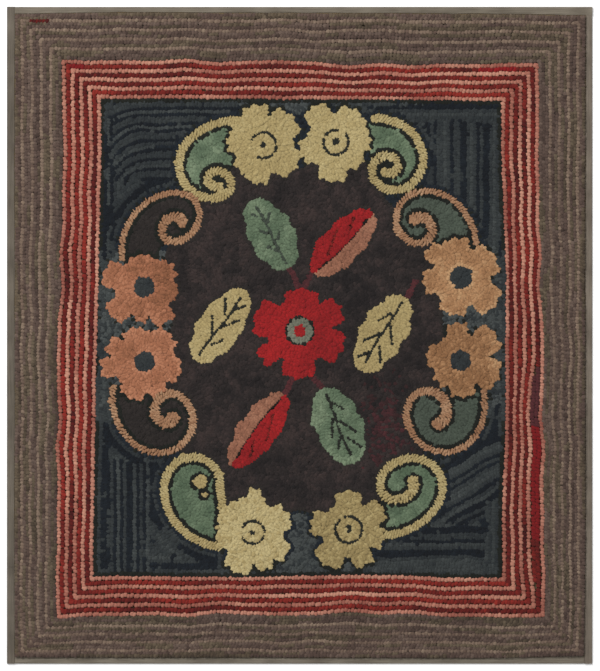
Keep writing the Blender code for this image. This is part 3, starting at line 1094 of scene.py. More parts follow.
def fill_dye(yarn, x, y, row):
    """The dye of a fill's loops, by yarn and place."""
    mood = MOODS.get(yarn, PLAIN_MOOD)
    dye = mood.middle + mood.slow * drift(x, y, SLOW_PATCH, SLOW_LAYER)
    dye = dye + mood.fine * drift(x, y, FINE_PATCH, FINE_LAYER)
    if row == 0:
        dye = dye + mood.rim
    if mood.own:
        dye = dye + mood.own * chance.standard_normal(np.shape(x))
    return dye + LOOP_FLECK * chance.standard_normal(np.shape(x))


FLOWER_SHADES = {
    "top_left": -0.12, "top_right": 0.1, "bottom_left": 0.35, "bottom_right": -0.4,
    "left_high": -0.3, "left_low": 0.15, "right_high": 0.1, "right_low": -0.35,
}
shade_of = {flower_regions[name]: shade for name, shade in FLOWER_SHADES.items()}

# The striped ground: boxes in metres, the way its rows run in degrees, and its stripes in order.
# d is dark navy, m a middle slate and s a paler slate. The waves are in millimetres.
Patch = namedtuple("Patch", "left right low high heading droop wave stripes")
PATCHES = (
    Patch(-0.262, -0.085, 0.214, 0.330, 0, 3.0, 2.0, "dmmdsmdmmdsmdmmdsdmmds"),
    Patch(-0.300, -0.264, 0.080, 0.330, -90, 0, 0.8, "smdmssds"),
    Patch(0.182, 0.300, 0.100, 0.330, -90, 0, 0.8, "mdmmsmdmmddmsmdmddmsmd"),
    Patch(0.105, 0.300, 0.296, 0.330, 0, 0, 0.6, "mmsmdsmsd"),
    Patch(-0.268, -0.208, -0.340, -0.175, -90, 0, 0.6, "dmdsdmddsdmdsdd"),
    Patch(0.085, 0.300, -0.335, -0.262, 0, 0, 2.4, "sssssmddmsdmmddsm"),
    Patch(0.150, 0.300, -0.262, -0.140, 30, 0, 2.4, "smdmdmssddmmdsmddsmdmddsmdms"),
    Patch(0.258, 0.300, -0.315, -0.230, -90, 0, 0.6, "smsmsmsds"),
)
CONTOUR_STRIPES = "dmddmsmddmmddmssdd"
DROOP_FROM = -0.212  # further left than this, drooping rows bend down
DROOP_GROWS = 0.03  # and this far below the first of them, twice as much
PATCH_WAVE = 5 * MM  # how far a patch's edges wander
PATCH_LENGTH = 0.02
# Further out than this, the ground's first row is the dark one by the border
WREATH_X, WREATH_Y = 0.260, 0.312
SOFT_EDGE_Y = 0.118  # nearer to the middle line than this, the ground has no dark edge
PLAIN_X, PLAIN_Y = 0.085, 0.100  # nearer to the middle lines than this, the ground is plain slate
patch_of = np.zeros(CX.shape, int)
bent_x = CX + PATCH_WAVE * drift(CX, CY, PATCH_LENGTH, RIM_LAYER)
bent_y = CY + PATCH_WAVE * drift(CX, CY, PATCH_LENGTH, GROUND_LAYER)
for index, box in enumerate(PATCHES):
    within = (bent_x > box.left) & (bent_x < box.right) & (bent_y > box.low) & (bent_y < box.high)
    patch_of[within] = index + 1

GROUND_LENGTH = 0.04  # size of the spots in which the ground's dyes drift
SLATE_DRIFT, NAVY_DRIFT = 0.2, 0.3
PLAIN_PALER, MIDDLE_DARKER = 0.37, 0.32  # against the slate of a pale stripe
NAVY_SPOT, SLATE_SPOT = -0.75, 0.8  # in a few spots a stripe is in the other yarn
SPOT_SHIFT = 0.3


def ground_yarn(x, y, stripe):
    """Yarn and change of dye for one loop of the ground."""
    slow = float(drift(x, y, GROUND_LENGTH, GROUND_LAYER))
    if abs(x) < PLAIN_X or abs(y) < PLAIN_Y:
        return "slate", SLATE_DRIFT * slow + PLAIN_PALER
    if stripe == "s":
        return ("slate", SLATE_DRIFT * slow) if slow > NAVY_SPOT else ("navy", SPOT_SHIFT)
    if stripe == "m":
        return "slate", SLATE_DRIFT * slow - MIDDLE_DARKER
    return ("navy", NAVY_DRIFT * slow) if slow < SLATE_SPOT else ("slate", -SPOT_SHIFT)


MAROON_X, MAROON_Y = 0.118, -0.128  # middle of the maroon patch
MAROON_HALF_X, MAROON_HALF_Y = 0.034, 0.062
MAROON_EDGE, MAROON_SCATTER = 0.45, 0.8  # how far it reaches, and how ragged it is


def in_maroon_patch(x, y):
    """Whether a loop of the dark middle is one of the maroon ones at its lower right."""
    away = ((x - MAROON_X) / MAROON_HALF_X) ** 2 + ((y - MAROON_Y) / MAROON_HALF_Y) ** 2
    return away + MAROON_SCATTER * chance.standard_normal() < MAROON_EDGE


FILL_JITTER = 0.2
DARK_RIM_PALER = 0.6  # the navy row beside the flowers against the yarn's middle dye
SOFT_RIM_DARKER = 0.1
MAROON_DARKER = 0.4
filled = 0
level = FIRST_ROW
row = 0
deepest = float(edge_distance[pattern > 0].max())
while level < deepest:
    allowed = (pattern > 0) & ((pattern != ground) | (row < 1) | (patch_of == 0))
    for points, closed, number in equal_lines(edge_distance, level, allowed):
        if len(points) < 4 or number == 0:
            continue
        region = fill_of[number]
        yarn = region.first_row if row == 0 else region.yarn
        places, headings = evenly(eased(points, closed), FILL_SPACING, closed, FILL_JITTER)
        if not len(places):
            continue
        dyes = fill_dye(yarn, places[:, 0], places[:, 1], row) + shade_of.get(number, 0)
        for (x, y), heading, dye in zip(places, headings, dyes):
            if row == 0:
                aside = EDGE_STAGGER * chance.uniform(-1, 1)
                x, y = x - aside * np.sin(heading), y + aside * np.cos(heading)
            loop_yarn = yarn
            if number == ground and row == 0 and abs(x) < WREATH_X and abs(y) < WREATH_Y:
                loop_yarn, dye = "navy", dye + DARK_RIM_PALER
            if number == ground and row == 0 and abs(y) < SOFT_EDGE_Y:
                loop_yarn, dye = "slate", dye - SOFT_RIM_DARKER
            if number == ground and row > 0:
                loop_yarn, change = ground_yarn(x, y, CONTOUR_STRIPES[row % len(CONTOUR_STRIPES)])
                dye += change
            if number == medallion and row > 0 and in_maroon_patch(x, y):
                loop_yarn, dye = "maroon", dye - MAROON_DARKER
            if has_room(x, y):
                keep(x, y, heading, loop_yarn, dye)
                filled += 1
    level += FILL_PITCH
    row += 1
print("fill loops:", filled, "in", row, "rounds")

# %% [markdown]
# ### The ground behind the wreath
#
# The four corners of the ground are hooked in long, slightly wavy rows. They are level and droop at the
# upper left, upright at the upper right and the lower left, and slanted at the lower right. Dark navy and
# a paler slate take turns, so the corners look striped. Near the middle lines there is only slate.

# %% Ground rows
GROUND_PITCH = 4.55 * MM
GROUND_GAP = 0.62 * GROUND_PITCH  # between the first row along the edge and the long rows
GROUND_ROOM = 3.2 * MM
GROUND_FLECK = 0.1
ROW_WAVE_LENGTH = 0.03
ROW_SHIVER, ROW_SHIVER_LENGTH = 0.5 * MM, 0.012


def row_field(patch):
    """A value that grows by a row's pitch from one row to the next."""
    turn = radians(patch.heading)
    across = (CY - patch.low) * cos(turn) - (CX - patch.left) * sin(turn)
    droop = patch.droop * np.maximum(0, DROOP_FROM - CX) ** 2 * (1 + (patch.high - CY) / DROOP_GROWS)
    wave = patch.wave * MM * drift(CX, CY, ROW_WAVE_LENGTH, RIM_LAYER)
    wave = wave + ROW_SHIVER * drift(CX, CY, ROW_SHIVER_LENGTH, GROUND_LAYER)
    return across + droop + wave


ground_count = 0
for index, patch in enumerate(PATCHES):
    field = row_field(patch)
    allowed = (patch_of == index + 1) & (pattern == ground) & (edge_distance > FIRST_ROW + GROUND_GAP)
    if not allowed.any():
        continue
    lowest = int(np.floor(field[allowed].min() / GROUND_PITCH))
    highest = int(np.ceil(field[allowed].max() / GROUND_PITCH))
    for step in range(lowest, highest + 1):
        stripe = patch.stripes[step % len(patch.stripes)]
        for points, closed, number in equal_lines(field, (step + 0.5) * GROUND_PITCH, allowed):
            if len(points) < 3:
                continue
            places, headings = evenly(eased(points, closed), FILL_SPACING, closed)
            for (x, y), heading in zip(places, headings):
                yarn, change = ground_yarn(x, y, stripe)
                if has_room(x, y, GROUND_ROOM):
                    keep(x, y, heading, yarn, 0.5 + change + GROUND_FLECK * chance.standard_normal())
                    ground_count += 1
print("ground loops:", ground_count)

# %% [markdown]
# Where rows meet at an angle, gaps stay open that are big enough for a loop. A maker pokes a few more loops
# in there. We mark every cell that a loop covers, and go over the cells that are left.

# %% Last gaps
COVER = 2.9 * MM  # how far a loop covers the cloth around it
COVER_SPAN = 4  # the same in cells
POKE_ROOM = 3.25 * MM
POKE_EDGE = 1.2 * MM  # nearer to an edge than this, nothing is poked in
POKE_RIM = 3.6 * MM  # and nearer than this, it is in the yarn of the shape's first row
covered = np.zeros(CX.shape, bool)
for x, y in kept["place"][border_count:]:
    box = cells_around(x, y, COVER_SPAN)
    covered[box] |= (CX[box] - x) ** 2 + (CY[box] - y) ** 2 < COVER * COVER
slope_y, slope_x = np.gradient(edge_distance)
poked = 0
for j, i in zip(*np.nonzero(~covered & (pattern > 0))):
    x, y = cell_x[i], cell_y[j]
    if edge_distance[j, i] < POKE_EDGE or not has_room(x, y, POKE_ROOM):
        continue
    region = fill_of[pattern[j, i]]
    heading = np.arctan2(slope_x[j, i], -slope_y[j, i])
    near_edge = edge_distance[j, i] < POKE_RIM
    yarn = region.first_row if near_edge else region.yarn
    if pattern[j, i] == ground and not near_edge:
        yarn = nearest_yarn(x, y, ("slate", "navy"))
    if yarn == "brown" and in_maroon_patch(x, y):
        yarn = "maroon"
    keep(x, y, heading, yarn, float(fill_dye(yarn, x, y, 1)))
    poked += 1
print("poked in:", poked, "; loops in all:", len(kept["dye"]))

# %% [markdown]
# ## One loop of wool
#
# A loop of a wool strip seen from above is a small hump, wider across its row than along it, with a soft
# ridge where the strip turns over. It is modelled once: a six-sided cylinder from the cloth to the widest
# place, pulled in at the foot, and its top drawn up into a ridge of two points. That is only 24 triangles,
# because there will be so many of them.

# %% The loop
FOOT = 2.1 * MM  # a little inside the cloth
BELLY = 5.9 * MM  # where the loop is widest
CREST = 8.0 * MM  # top of the ridge
ALONG_HALF = 2.2 * MM
ACROSS_HALF = 2.65 * MM
LEVEL = 0.5 * MM  # points are told apart by their height with this to spare
FOOT_PULL = 0.92  # the foot against the belly
RIDGE_PULL = 0.72  # the ridge against the belly, across the row


def select_where(test):
    """Selects the points of the mesh being edited that pass a test."""
    mesh = bmesh.from_edit_mesh(bpy.context.object.data)
    bpy.ops.mesh.select_all(action="DESELECT")
    for vert in mesh.verts:
        vert.select_set(test(vert.co))
    mesh.select_flush(True)
    bmesh.update_edit_mesh(bpy.context.object.data)


deselect_all()
bpy.ops.mesh.primitive_cylinder_add(
    vertices=6, radius=1.0, depth=BELLY - FOOT, location=(0, 0, (FOOT + BELLY) / 2)
)
loop_shape = bpy.context.object
bpy.ops.object.transform_apply(location=True, rotation=True, scale=True)
bpy.ops.object.mode_set(mode="EDIT")
bpy.ops.mesh.select_mode(type="VERT")
select_where(lambda co: co.z < BELLY - LEVEL)
bpy.ops.transform.resize(value=(FOOT_PULL, FOOT_PULL, 1), center_override=(0, 0, FOOT))
select_where(lambda co: co.z > BELLY - LEVEL)
bpy.ops.mesh.extrude_region_move(TRANSFORM_OT_translate={"value": (0, 0, CREST - BELLY)})
bpy.ops.transform.resize(value=(1, RIDGE_PULL, 1), center_override=(0, 0, CREST))
for side in (1, -1):
    select_where(lambda co: co.z > CREST - LEVEL and co.y * side > 0.01)
    bpy.ops.mesh.merge(type="CENTER")
bpy.ops.mesh.select_all(action="SELECT")
bpy.ops.transform.resize(value=(ALONG_HALF, ACROSS_HALF, 1), center_override=(0, 0, 0))
bpy.ops.mesh.normals_make_consistent(inside=False)
bpy.ops.object.mode_set(mode="OBJECT")

loop_mesh = loop_shape.data
loop_mesh.calc_loop_triangles()
loop_points = np.array([vert.co for vert in loop_mesh.vertices])
loop_triangles = np.array([triangle.vertices for triangle in loop_mesh.loop_triangles])
bpy.data.objects.remove(loop_shape)
print("one loop:", len(loop_points), "points,", len(loop_triangles), "triangles")

# %% [markdown]
# ### A map for each loop
#
# For the rug's colours to be painted into a picture, each loop needs a place of its own in that picture. So
# each loop gets one square of it. The ridge lies in the middle of the square, the belly round it and the
# foot outermost, as if the loop were pressed flat. The hidden bottom is a tiny patch in a corner.

# %% Loop map
MAP_RING = {"crest": 0.12, "belly": 0.27, "foot": 0.47}
BOTTOM_PLACE, BOTTOM_SIZE = 0.06, 0.1
reach_of = np.where(
    loop_points[:, 2] > CREST - MM,
    MAP_RING["crest"],
    np.where(loop_points[:, 2] > BELLY - MM, MAP_RING["belly"], MAP_RING["foot"]),
)
turn_of = np.arctan2(loop_points[:, 1] / ACROSS_HALF, loop_points[:, 0] / ALONG_HALF)
map_points = 0.5 + reach_of[:, None] * np.stack([np.cos(turn_of), np.sin(turn_of)], -1)
loop_map = map_points[loop_triangles]
is_bottom = (loop_points[loop_triangles][:, :, 2] < BELLY - MM).all(axis=1)
loop_map[is_bottom] = BOTTOM_PLACE + (loop_map[is_bottom] - 0.5) * BOTTOM_SIZE

# %% [markdown]
# ## Copying the loops
#
# All loops of a yarn become one mesh. Each copy is turned to its row and then slanted, since a hooked
# strip never lies quite square to the row. Sizes, heights and leans vary a little. The middle of the rug
# rises and falls softly, as the solids do.

# %% Loops into meshes
MOST_LOOPS = 8200  # in one piece
# The loops of the red band are this much wider
BAND_PLUMP = {"red": 1.24, "salmon": 1.1, "crimson": 1.3, "maroon": 1.3}
BORDER_LOWER = 0.15 * MM
HEIGHT_SPREAD = 0.16 * MM
LEAN_SPREAD = 0.35 * MM
SLANT_SPREAD = 9  # degrees
SIZE_SPREAD = 0.07
Wave = namedtuple("Wave", "across along shift height")
FIELD_WAVES = (
    Wave(19, 13, 0.8, 0.25 * MM),
    Wave(-8, 27, 2.1, 0.2 * MM),
    Wave(37, -29, 0.0, 0.15 * MM),
)
FIELD_TOP = 7.35 * MM

place = np.array(kept["place"])
heading = np.array(kept["heading"])
yarn_of = np.array([YARN_NAMES.index(name) for name in kept["yarn"]])
dye_of = np.clip(np.array(kept["dye"]), 0, 1)
shape_of = np.array(kept["shape"])
count = len(place)
in_border = np.arange(count) < border_count
swell = sum(w.height * np.sin(w.across * place[:, 0] + w.along * place[:, 1] + w.shift) for w in FIELD_WAVES)
top_of = np.where(in_border, CREST - BORDER_LOWER, FIELD_TOP + swell)
top_of = top_of + HEIGHT_SPREAD * chance.standard_normal(count)
slant_of = np.radians(shape_of[:, 2] + SLANT_SPREAD * chance.standard_normal(count))
along_of = shape_of[:, 0] * (1 + SIZE_SPREAD * chance.standard_normal(count))
across_of = shape_of[:, 1] * (1 + SIZE_SPREAD * chance.standard_normal(count))
relief_of = shape_of[:, 3] * MM
top_of = top_of + shape_of[:, 4] * MM
for name, plump in BAND_PLUMP.items():
    across_of[in_border & (yarn_of == YARN_NAMES.index(name))] *= plump
lean_of = LEAN_SPREAD * chance.standard_normal((count, 2))


def loop_mesh_of(name, chosen):
    """One mesh of the chosen loops."""
    many = len(chosen)
    points = np.repeat(loop_points[None], many, axis=0)
    points[:, :, 0] *= along_of[chosen, None]
    points[:, :, 1] *= across_of[chosen, None]
    rise = (points[:, :, 2] - FOOT) / (CREST - FOOT)
    at_foot, at_crest = rise < 0.1, rise > 0.9
    belly = top_of[chosen, None] - relief_of[chosen, None]
    points[:, :, 2] = np.where(at_foot, FOOT, np.where(at_crest, top_of[chosen, None], belly))
    points[:, :, :2] += rise[:, :, None] * lean_of[chosen, None, :]
    turn = heading[chosen] + slant_of[chosen]
    c, s = np.cos(turn)[:, None], np.sin(turn)[:, None]
    x = points[:, :, 0] * c - points[:, :, 1] * s + place[chosen, None, 0]
    y = points[:, :, 0] * s + points[:, :, 1] * c + place[chosen, None, 1]
    points = np.stack([x, y, points[:, :, 2]], -1).reshape(-1, 3)
    triangles = (loop_triangles[None] + len(loop_points) * np.arange(many)[:, None, None]).reshape(-1, 3)
    mesh = bpy.data.meshes.new(name)
    mesh.vertices.add(len(points))
    mesh.vertices.foreach_set("co", points.ravel())
    mesh.loops.add(triangles.size)
    mesh.loops.foreach_set("vertex_index", triangles.ravel().astype(np.int32))
    mesh.polygons.add(len(triangles))
    mesh.polygons.foreach_set("loop_start", np.arange(0, triangles.size, 3, dtype=np.int32))
    mesh.polygons.foreach_set("loop_total", np.full(len(triangles), 3, np.int32))
    mesh.update(calc_edges=True)
    mesh.shade_smooth()
    dye = mesh.attributes.new("dye", "FLOAT", "POINT")
    dye.data.foreach_set("value", np.repeat(dye_of[chosen], len(loop_points)).astype(np.float32))
    squares_across = ceil(many**0.5)
    corner = np.stack([np.arange(many) % squares_across, np.arange(many) // squares_across], -1)
    flat_map = (loop_map[None] + corner[:, None, None, :]) / squares_across
    mesh.uv_layers.new(name="OFBake")
    mesh.uv_layers["OFBake"].data.foreach_set("uv", flat_map.reshape(-1).astype(np.float32))
    mesh.validate()
    return mesh


# %% [markdown]
# ## Wool
#
# The material reads each loop's dye and picks a shade of its yarn. Fine noise breaks it up into fibres. Finer
# tufts on each loop are painted lighter in their middles and darker at their rims, a painted shade between
# them, and the foot of a loop, down between its neighbours, is painted darker, a painted shade where the
# neighbours keep the light off. Wool has no gloss, but its fuzz catches light at a shallow angle, which is
# what sheen is for. A fine bump makes the strip look felted.

# %% Wool material
FIBRE_SCALE = 1400
FLECK_SCALE = 420
TUFT_SCALE = 330  # tufts in a metre
# How much painted shade lies between the finer tufts of a loop, in the fills and in cream
PLUSH_TUFT_SHADE = 0.12
CREAM_TUFT_SHADE = 0.06


def add_node(tree, kind, inputs, **settings):
    """A new node. Each input named takes a value or is linked to the output of another node."""
    node = tree.nodes.new(kind)
    for key, value in settings.items():
        setattr(node, key, value)
    for key, value in inputs.items():
        if isinstance(value, bpy.types.NodeSocket):
            tree.links.new(value, node.inputs[key])
        else:
            node.inputs[key].default_value = value
    return node


def calculated(tree, operation, first, second):
    """Two values joined by a calculation."""
    node = add_node(tree, "ShaderNodeMath", {0: first, 1: second}, operation=operation)
    return node.outputs["Value"]


def mapped(tree, value, low, high, to_low=0, to_high=1):
    """A value taken from one range to another."""
    inputs = {"Value": value, "From Min": low, "From Max": high, "To Min": to_low, "To Max": to_high}
    return add_node(tree, "ShaderNodeMapRange", inputs).outputs["Result"]


def scaled(tree, colour, share):
    """A colour made darker or lighter."""
    node = add_node(tree, "ShaderNodeVectorMath", {0: colour, "Scale": share}, operation="SCALE")
    return node.outputs["Vector"]


def noise(tree, where, scale, detail=2):
    """Cloudy noise."""
    inputs = {"Vector": where, "Scale": scale, "Detail": detail}
    return add_node(tree, "ShaderNodeTexNoise", inputs).outputs["Fac"]


def blended(tree, value, colours):
    """Colours that follow a value from 0 to 1: two of them, or three with the second in the middle."""
    ramp = add_node(tree, "ShaderNodeValToRGB", {"Fac": value})
    stops = ramp.color_ramp.elements
    stops[0].color = (*colours[0], 1)
    stops[1].color = (*colours[-1], 1)
    if len(colours) == 3:
        stops.new(0.5).color = (*colours[1], 1)
    return ramp.outputs["Color"]


def dress(tree, shader, colour, height, strength, distance):
    """Gives a shader its colour and a bump."""
    tree.links.new(colour, shader.inputs["Base Color"])
    bump = add_node(tree, "ShaderNodeBump", {"Height": height, "Strength": strength, "Distance": distance})
    tree.links.new(bump.outputs["Normal"], shader.inputs["Normal"])


def wool_material(name, shades, tuft_shade):
    """Wool in one dye, from its three shades. The tuft shade is the painted shade between the finer tufts."""
    material, tree, shader = start_material(
        name.replace("_", " ") + " wool",
        {"Roughness": 0.92, "Specular IOR Level": 0.18, "Sheen Weight": 0.05, "Sheen Roughness": 0.55},
    )
    where = add_node(tree, "ShaderNodeTexCoord", {}).outputs["Object"]
    dye = add_node(tree, "ShaderNodeAttribute", {}, attribute_name="dye").outputs["Fac"]
    flecks = mapped(tree, noise(tree, where, FLECK_SCALE, 4), 0.3, 0.7, 0.8, 1.16)
    height = add_node(tree, "ShaderNodeSeparateXYZ", {"Vector": where}).outputs["Z"]
    # Painted shade: darker towards the foot of the loop, down between its neighbours
    depth = mapped(tree, height, FOOT, CREST - 0.6 * MM, 0.78, 1.0)
    tuft = add_node(tree, "ShaderNodeTexVoronoi", {"Scale": TUFT_SCALE, "Vector": where}).outputs["Distance"]
    # Painted shade: each tuft is lighter in its middle and darker at its rim
    tufts = mapped(tree, tuft, 0.1, 0.7, 1 + 0.5 * tuft_shade, 1 - tuft_shade)
    share = calculated(tree, "MULTIPLY", calculated(tree, "MULTIPLY", flecks, tufts), depth)
    colour = scaled(tree, blended(tree, dye, shades), share)
    dress(tree, shader, colour, noise(tree, where, FIBRE_SCALE, 3), 0.6, 0.3 * MM)
    return material


loop_pieces = []
for yarn_index, yarn_name in enumerate(YARN_NAMES):
    chosen = np.nonzero(yarn_of == yarn_index)[0]
    if not len(chosen):
        continue
    tuft_shade = PLUSH_TUFT_SHADE if yarn_name in PLUSH_YARNS else 0.0
    if yarn_name == "cream":
        tuft_shade = CREAM_TUFT_SHADE
    material = wool_material(yarn_name, LIGHT_VALUES[yarn_name], tuft_shade)
    parts = ceil(len(chosen) / MOST_LOOPS)
    for part, some in enumerate(np.array_split(chosen, parts)):
        piece_name = "loops_" + yarn_name + ("" if parts == 1 else "_" + str(part + 1))
        piece = bpy.data.objects.new(piece_name, loop_mesh_of(piece_name, some))
        bpy.context.scene.collection.objects.link(piece)
        piece.data.materials.append(material)
        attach(piece, "root")
        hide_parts("hooked_field")
        loop_pieces.append(piece)
        print(piece_name, len(some), "loops,", len(piece.data.polygons), "triangles")

# %% [markdown]
# ## The ground cloth
#
# Under the loops lies the ground cloth, an even, open weave. Its back shows what the front does, since every
# loop comes up from it: small flat stitches in the same colours. The cloth is a closed thin sheet, flat on
# the floor in the middle and lying on the turned-in tape at its sides. We make it ring after ring, from
# the middle of the back outwards, round the cut edge and over the face.

# %% Ground cloth shape
CLOTH_THICK = 1.4 * MM
TAPE_THICK = 0.7 * MM
GAP = 0.3 * MM  # between the cloth and the tape
TAPE_UNDER = 20 * MM  # width of the tape on the back
MARGIN_INSET = 2.2 * MM  # where the cloth's cut edge lies
MARGIN_LOW = TAPE_THICK + GAP
MARGIN_HIGH = MARGIN_LOW + CLOTH_THICK
UNDER_CLEAR = 1.5 * MM  # between the tape's inner edge and where the cloth starts to sink
UNDER_SLOPE = 16.5 * MM  # the width in which it sinks to the floor
AROUND = 280  # points round each ring
SHRINK_RINGS = 40  # rings inside the border


def face_outwards(obj):
    """Turns all faces of an object outwards."""
    deselect_all()
    obj.select_set(True)
    bpy.context.view_layer.objects.active = obj
    bpy.ops.object.mode_set(mode="EDIT")
    bpy.ops.mesh.select_all(action="SELECT")
    bpy.ops.mesh.normals_make_consistent(inside=False)
    bpy.ops.object.mode_set(mode="OBJECT")


def ring_of(inset_of):
    """One closed ring of points, the same number on each side."""
    each = AROUND // 4
    sides = []
    for side, start, end in side_runs(inset_of):
        runs = start + (end - start) * np.arange(each) / each
        sides.append(on_side(side, runs, inset_of(side, runs)))
    return np.concatenate(sides)


def cloth_rise(ring):
    """Height of the cloth's underside: up on the turned-in tape at the sides, down to the floor inside."""
    inset = np.minimum(HALF_WIDTH - np.abs(ring[:, 0]), HALF_LENGTH - np.abs(ring[:, 1]))
    share = np.clip((inset - TAPE_UNDER - UNDER_CLEAR) / UNDER_SLOPE, 0, 1)
    return MARGIN_LOW * (1 - share)


margin_ring = ring_of(lambda side, run: MARGIN_INSET + 0 * np.asarray(run, float))
border_rings = [ring_of(lambda side, run, r=row: row_inset(side, run, r)) for row in range(BORDER_ROWS + 1)]
last_ring = border_rings[-1]
inner_rings = [last_ring * (1 - (k / (SHRINK_RINGS + 0.5))) for k in range(1, SHRINK_RINGS + 1)]
back_rings = [margin_ring] + border_rings + inner_rings
points, row_numbers = [], []
for index, ring in enumerate(back_rings):
    points.append(np.column_stack([ring, cloth_rise(ring)]))
    row_numbers.append(np.full(AROUND, min(index - 1, BORDER_ROWS)))
points.append(np.column_stack([margin_ring, np.full(AROUND, MARGIN_HIGH)]))
row_numbers.append(np.full(AROUND, -1))
points, row_numbers = np.concatenate(points), np.concatenate(row_numbers)

faces = []
rings = len(back_rings)
for ring in range(rings - 1):
    for k in range(AROUND):
        a, b = ring * AROUND + k, ring * AROUND + (k + 1) % AROUND
        faces.append((a, a + AROUND, b + AROUND, b))
top = rings * AROUND
for k in range(AROUND):
    after = (k + 1) % AROUND
    faces.append((k, after, top + after, top + k))
faces.append(tuple(range(top, top + AROUND)))
centre = (rings - 1) * AROUND
faces.append(tuple(centre + k for k in reversed(range(AROUND))))
cloth_mesh = bpy.data.meshes.new("ground_cloth")
cloth_mesh.from_pydata(points.tolist(), [], faces)
cloth_mesh.validate()
ground_cloth = bpy.data.objects.new("ground_cloth", cloth_mesh)
bpy.context.scene.collection.objects.link(ground_cloth)
face_outwards(ground_cloth)
print("ground cloth:", len(points), "points")

# %% [markdown]
# The back of the cloth takes its colours from the loops that stand on it. Each point gets the mean colour
# of the loops near it, found on a coarse grid.

# %% Colours on the back
STITCH_CELL = 5 * MM
across_cells, along_cells = ceil(RUG_WIDTH / STITCH_CELL) + 2, ceil(RUG_LENGTH / STITCH_CELL) + 2
colour_sum = np.zeros((across_cells, along_cells, 3))
colour_count = np.zeros((across_cells, along_cells))
shade_table = np.array([LIGHT_VALUES[name] for name in YARN_NAMES])
SPREAD_ROUNDS = 4  # how often empty squares take over their neighbours' colour


def stitch_square(x, y):
    """Column and line of the coarse grid at some places."""
    column = ((x + HALF_WIDTH) / STITCH_CELL).astype(int)
    line = ((y + HALF_LENGTH) / STITCH_CELL).astype(int)
    return np.clip(column, 0, across_cells - 1), np.clip(line, 0, along_cells - 1)


def from_neighbours(grid):
    """The sum of the four neighbours of each square."""
    return sum(np.roll(grid, step, axis) for step, axis in ((1, 0), (-1, 0), (1, 1), (-1, 1)))


position = dye_of * 2
low_stop = np.clip(position.astype(int), 0, 1)
part_way = (position - low_stop)[:, None]
loop_colour = shade_table[yarn_of, low_stop] * (1 - part_way) + shade_table[yarn_of, low_stop + 1] * part_way
square = stitch_square(place[:, 0], place[:, 1])
np.add.at(colour_sum, square, loop_colour)
np.add.at(colour_count, square, 1)
for _ in range(SPREAD_ROUNDS):
    empty = colour_count == 0
    spread, spread_count = from_neighbours(colour_sum), from_neighbours(colour_count)
    colour_sum[empty], colour_count[empty] = spread[empty], spread_count[empty]
mean_colour = colour_sum / np.maximum(colour_count, 1)[:, :, None]
point_colour = mean_colour[stitch_square(points[:, 0], points[:, 1])]
back_colour = np.column_stack([point_colour, np.ones(len(points))])
stitches = cloth_mesh.attributes.new("stitches", "FLOAT_COLOR", "POINT")
stitches.data.foreach_set("color", back_colour.ravel().astype(np.float32))
row_value = cloth_mesh.attributes.new("row", "FLOAT", "POINT")
row_value.data.foreach_set("value", row_numbers.astype(np.float32))

# %% [markdown]
# The cloth's material is a plain weave of jute-coloured threads, crossed by two waves, with the stitches of
# wool over it. The gaps between the threads are painted darker than their tops, a painted shade. In the
# border the stitches follow the rows, so the material counts the rows and colours each with its own yarn.

# %% Ground cloth material
WEAVE_SCALE = 281.25  # for nine hundred threads in a metre
STITCH_SCALE = 240
# Painted shade: the colour darkens from the tops of the threads into the gaps between them
JUTE_AND_GAP_SHADE = ((92, 78, 58), (150, 130, 98))  # from the gaps between the threads to their tops


def row_colours(tree, row):
    """The colour of each border row's own yarn, where the row's number is known."""
    ramp = add_node(tree, "ShaderNodeValToRGB", {"Fac": mapped(tree, row, 0, BORDER_ROWS)})
    ramp.color_ramp.interpolation = "CONSTANT"
    stops = ramp.color_ramp.elements
    previous = None
    for row_number in range(BORDER_ROWS):
        yarn = border_yarn(row_number)
        if yarn == previous:
            continue
        previous = yarn
        stop = stops[0] if row_number == 0 else stops.new(row_number / BORDER_ROWS)
        stop.color = (*LIGHT_VALUES[yarn][1], 1)
    stops[len(stops) - 1].color = (*LIGHT_VALUES[border_yarn(BORDER_ROWS - 1)][1], 1)
    return ramp.outputs["Color"]


def mixed(tree, share, first, second):
    """Two colours mixed."""
    inputs = {"Factor": share, "A": first, "B": second}
    return add_node(tree, "ShaderNodeMix", inputs, data_type="RGBA").outputs["Result"]


def cloth_material():
    """An even weave with flat stitches of wool on it."""
    material, tree, shader = start_material(
        "stitched ground cloth", {"Roughness": 0.95, "Specular IOR Level": 0.15}
    )
    where = add_node(tree, "ShaderNodeTexCoord", {}).outputs["Object"]
    row = add_node(tree, "ShaderNodeAttribute", {}, attribute_name="row").outputs["Fac"]
    stitches = add_node(tree, "ShaderNodeAttribute", {}, attribute_name="stitches").outputs["Color"]
    in_middle = calculated(tree, "GREATER_THAN", row, BORDER_ROWS - 0.02)
    wool = mixed(tree, in_middle, row_colours(tree, row), stitches)
    stitch = add_node(tree, "ShaderNodeTexVoronoi", {"Scale": STITCH_SCALE, "Vector": where})
    between = mapped(tree, stitch.outputs["Distance"], 0.55, 0.75)
    bare = calculated(tree, "MAXIMUM", between, calculated(tree, "LESS_THAN", row, 0.0))
    threads = {"Scale": WEAVE_SCALE, "Distortion": 0.6, "Vector": where}
    warp = add_node(tree, "ShaderNodeTexWave", threads, bands_direction="X")
    weft = add_node(tree, "ShaderNodeTexWave", threads, bands_direction="Y")
    weave = calculated(tree, "MULTIPLY", warp.outputs["Fac"], weft.outputs["Fac"])
    # Painted shade in the gaps between the threads
    jute_and_gap_shade = blended(tree, weave, [light_value(shade) for shade in JUTE_AND_GAP_SHADE])
    relief = calculated(tree, "SUBTRACT", weave, stitch.outputs["Distance"])
    dress(tree, shader, mixed(tree, bare, wool, jute_and_gap_shade), relief, 0.8, 0.5 * MM)
    return material


